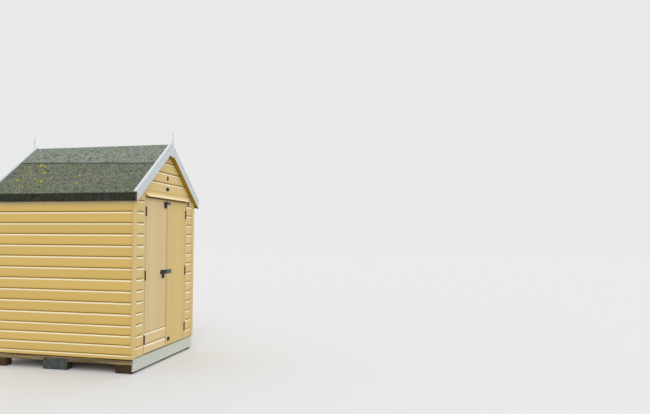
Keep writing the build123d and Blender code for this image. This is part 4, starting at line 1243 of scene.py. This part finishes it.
def smallPieces():
    # Rounded plates, turned pins and knobs, and a hook whose round bar follows a path of points.
    chance = np.random.default_rng(20)
    faceY = front - small["plate"]
    x, z, wide = small["bolt"][:3]
    plate = plateAt(chance, *rectangle(small["bolt"]), 5, faceY)
    rodY = faceY - small["rod"] + 1.5
    path = [(x - wide / 2 + 0.2, rodY, z), (x, rodY, z), (x + wide / 2 - 0.2, rodY, z)]
    rod = carry(pipeRings(path, small["rod"]), "x", chance)
    outline = [(front - 1, z - 9), (faceY - 2.5, z - 9), (faceY - 8.6, z - 5.5), (faceY - 8.6, z + 5.5),
               (faceY - 2.5, z + 9), (front - 1, z + 9)]
    staples = [carry(outlineRings(outline, "yz", [x + dx - 4, x + dx + 4]), "x", chance) for dx in (-16, 20)]
    knob = turnedRings(small["knob"], [(x + wide / 4 - 7, rodY, z)], (0, -1, 0), 12)
    knob = carry(knob, "z", chance)
    screws = screwsAt([(x + dx, faceY - 0.2, z + dz) for dx in (-23, 23) for dz in (-19, 19)], chance)
    makePiece("footBolt", [plate, rod, knob, screws] + staples, "blackIron", ["right_door_bolt"], 0.5,
              "right_door")

    # An oval plate with a raised rim and a round-holed plate below it, both plain.
    z, wide, tall = small["oval"][1:]
    turn = np.linspace(0, 2 * pi, 36, endpoint=False)
    rings = [np.stack([wide / 2 * s * np.cos(turn), np.full(36, front - d), z + tall / 2 * s * np.sin(turn)],
                      -1) for s, d in small["ovalRims"]]
    oval = carry(rings, "x", chance)
    z = small["lower"][1]
    lower = plateAt(chance, *rectangle(small["lower"]), 6, front - 2.2)
    ring = turnedRings(small["ring"], [(0, front, z)], (0, -1, 0), 24)
    screws = screwsAt([(-28, front - 2.3, z), (28, front - 2.3, z)], chance)
    ring = carry(ring, "x", chance)
    makePiece("gablePlates", [oval, lower, ring, screws], "blackIron", ["gable_plates"], 0.3)

    x, z = small["hook"][:2]
    plate = plateAt(chance, *rectangle(small["hook"]), 4, faceY)
    pin = carry(turnedRings(small["pin"], [(x, faceY, z + 23)], (0, -1, 0), 12), "x", chance)
    path = np.array([(x + dx - 2, faceY - 14, z + dz) for dx, dz in small["hookPath"]])
    hook = carry(pipeRings(path, small["hookRod"]), "z", chance)
    spots = [(x + dx, faceY - 0.2, z + dz) for dx, dz in ((-20, 22), (-20, -22), (20, -22), (20, 22))]
    makePiece("hookPlate", [plate, screwsAt(spots, chance)], "paleSteel", ["door_hook"], 0.4)
    makePiece("doorHook", [pin, hook], "blackIron", ["door_hook"], slotName="galvanised_steel")
    print("small fittings made")


wallBoards()
cornerBoards()
doorwayPieces()
doorLeaves()
vergePieces()
finialPieces()
roofPieces()
basePieces()
lockPieces()
smallPieces()

# CAD nodes that keep their own shape
kept = {
    "wall_studs": "bareTimberUpright", "side_wall_plates": "bareTimberLong",
    "end_wall_plates": "bareTimberAcross", "roof_beams": "bareTimberLong", "eaves_boards": "shadedEavesTimber",
    "frame_hinge_plates": "blackIronHinge", "left_door_hinge_plates": "blackIronHinge",
    "right_door_hinge_plates": "blackIronHinge",
}
for node, finish in kept.items():
    holder = frame["nodes"][node]
    if not holder.material_slots:
        holder.data.materials.append(finishes[finish])
    for place in holder.material_slots:
        place.material = finishes[finish]


# Floor, light and camera

studio = {"floorSize": 120, "floorPale": (0.695, 0.686, 0.680), "floorBounce": (0.33, 0.31, 0.28),
          "skyPale": (0.82, 0.82, 0.815), "skyLight": (0.94, 0.97, 1.0), "skyStrength": 0.8}


def seenDirectly(tree):
    # One where the camera or a reflection sees the surface itself.
    rays = addNode(tree, "LightPath").outputs
    return reckon(tree, "MAXIMUM", rays["Is Camera Ray"], rays["Is Glossy Ray"]), rays


def floorAndSky():
    # A flat grid for a floor. The floor and the sky look paler than the light that they give.
    half = studio["floorSize"] / 2
    steps = np.linspace(-half, half, 3)
    grid = np.stack(np.meshgrid(steps, steps, [0], indexing="ij"), -1)
    mesh = bpy.data.meshes.new("studioFloor")
    mesh.from_pydata(grid.reshape(-1, 3), [], gridFaces(3, 3).tolist())
    floor = bpy.data.objects.new("studioFloor", mesh)
    bpy.context.scene.collection.objects.link(floor)
    finish, tree, shader = startFinish("studioFloor", 1.0, 0.0)
    direct, rays = seenDirectly(tree)
    colour = blendColour(tree, direct, (*studio["floorBounce"], 1), (*studio["floorPale"], 1))
    tree.links.new(colour, shader["Base Color"])
    mesh.materials.append(finish)

    world = bpy.data.worlds.new("studioSky")
    bpy.context.scene.world = world
    world.use_nodes = True
    tree = world.node_tree
    back = tree.nodes["Background"]
    back.inputs["Strength"].default_value = studio["skyStrength"]
    back.inputs["Color"].default_value = (*studio["skyLight"], 1)
    pale = addNode(tree, "Background", {"Color": (*studio["skyPale"], 1), "Strength": 1.0})
    direct, rays = seenDirectly(tree)
    direct = reckon(tree, "MAXIMUM", direct, rays["Is Transmission Ray"])
    both = addNode(tree, "MixShader", {0: direct, 1: back.outputs[0], 2: pale.outputs[0]})
    tree.links.new(both.outputs[0], tree.nodes["World Output"].inputs["Surface"])


# Each lamp is a broad sun, so that its light is the same all over: where it stands, seen from the hut.
lamps = {
    "key": {"from": (-0.537, -0.576, 0.616), "spread": 70, "strength": 1.6, "tint": (1.0, 0.985, 0.95)},
    "back": {"from": (0.52, 0.57, 0.64), "spread": 100, "strength": 0.6, "tint": (1.0, 0.99, 0.97)},
}


def placeHolder(name, data, right, above, behind, at=(0, 0, 0)):
    # An object for a lamp or camera, turned so that it looks away from behind.
    holder = bpy.data.objects.new(name, data)
    matrix = np.eye(4)
    matrix[:3] = np.stack([right, above, behind, np.array(at) * mm], -1)
    holder.matrix_world = Matrix(matrix.tolist())
    bpy.context.scene.collection.objects.link(holder)
    return holder


def addLamps():
    # Each sun's light comes from where the lamp stands.
    for name, lamp in lamps.items():
        data = bpy.data.lights.new(name, "SUN")
        data.angle, data.energy, data.color = radians(lamp["spread"]), lamp["strength"], lamp["tint"]
        away = np.array(lamp["from"], float) / np.linalg.norm(lamp["from"])
        right = np.cross((0, 0, 1), away)
        right /= np.linalg.norm(right)
        placeHolder(name, data, right, np.cross(away, right), away)


camera = {"at": (-6142.2, -4374.6, 1611.6), "yaw": 11.548, "pitch": 1.824, "roll": 0.3567,
          "focal": 508.565, "width": 650, "height": 414, "axis": (325.5, 221.2), "film": 36}


def addCamera():
    # The view line turns from +X by yaw and up by pitch, and the camera rolls about it.
    yaw, pitch, roll = (radians(camera[key]) for key in ("yaw", "pitch", "roll"))
    ahead = np.array([cos(yaw) * cos(pitch), sin(yaw) * cos(pitch), sin(pitch)])
    right = np.array([sin(yaw), -cos(yaw), 0])
    above = np.cross(right, ahead)
    data = bpy.data.cameras.new("viewFromPath")
    data.sensor_fit, data.sensor_width = "HORIZONTAL", camera["film"]
    data.lens = camera["film"] * camera["focal"] / camera["width"]
    data.shift_x = (camera["width"] / 2 - camera["axis"][0]) / camera["width"]
    data.shift_y = (camera["axis"][1] - camera["height"] / 2) / camera["width"]
    data.clip_end = 400
    bpy.context.scene.camera = placeHolder(
        "viewFromPath", data, cos(roll) * right + sin(roll) * above, -sin(roll) * right + cos(roll) * above,
        -ahead, camera["at"])


floorAndSky()
addLamps()
addCamera()
bpy.context.scene.view_settings.view_transform = "Standard"
print("studio made")
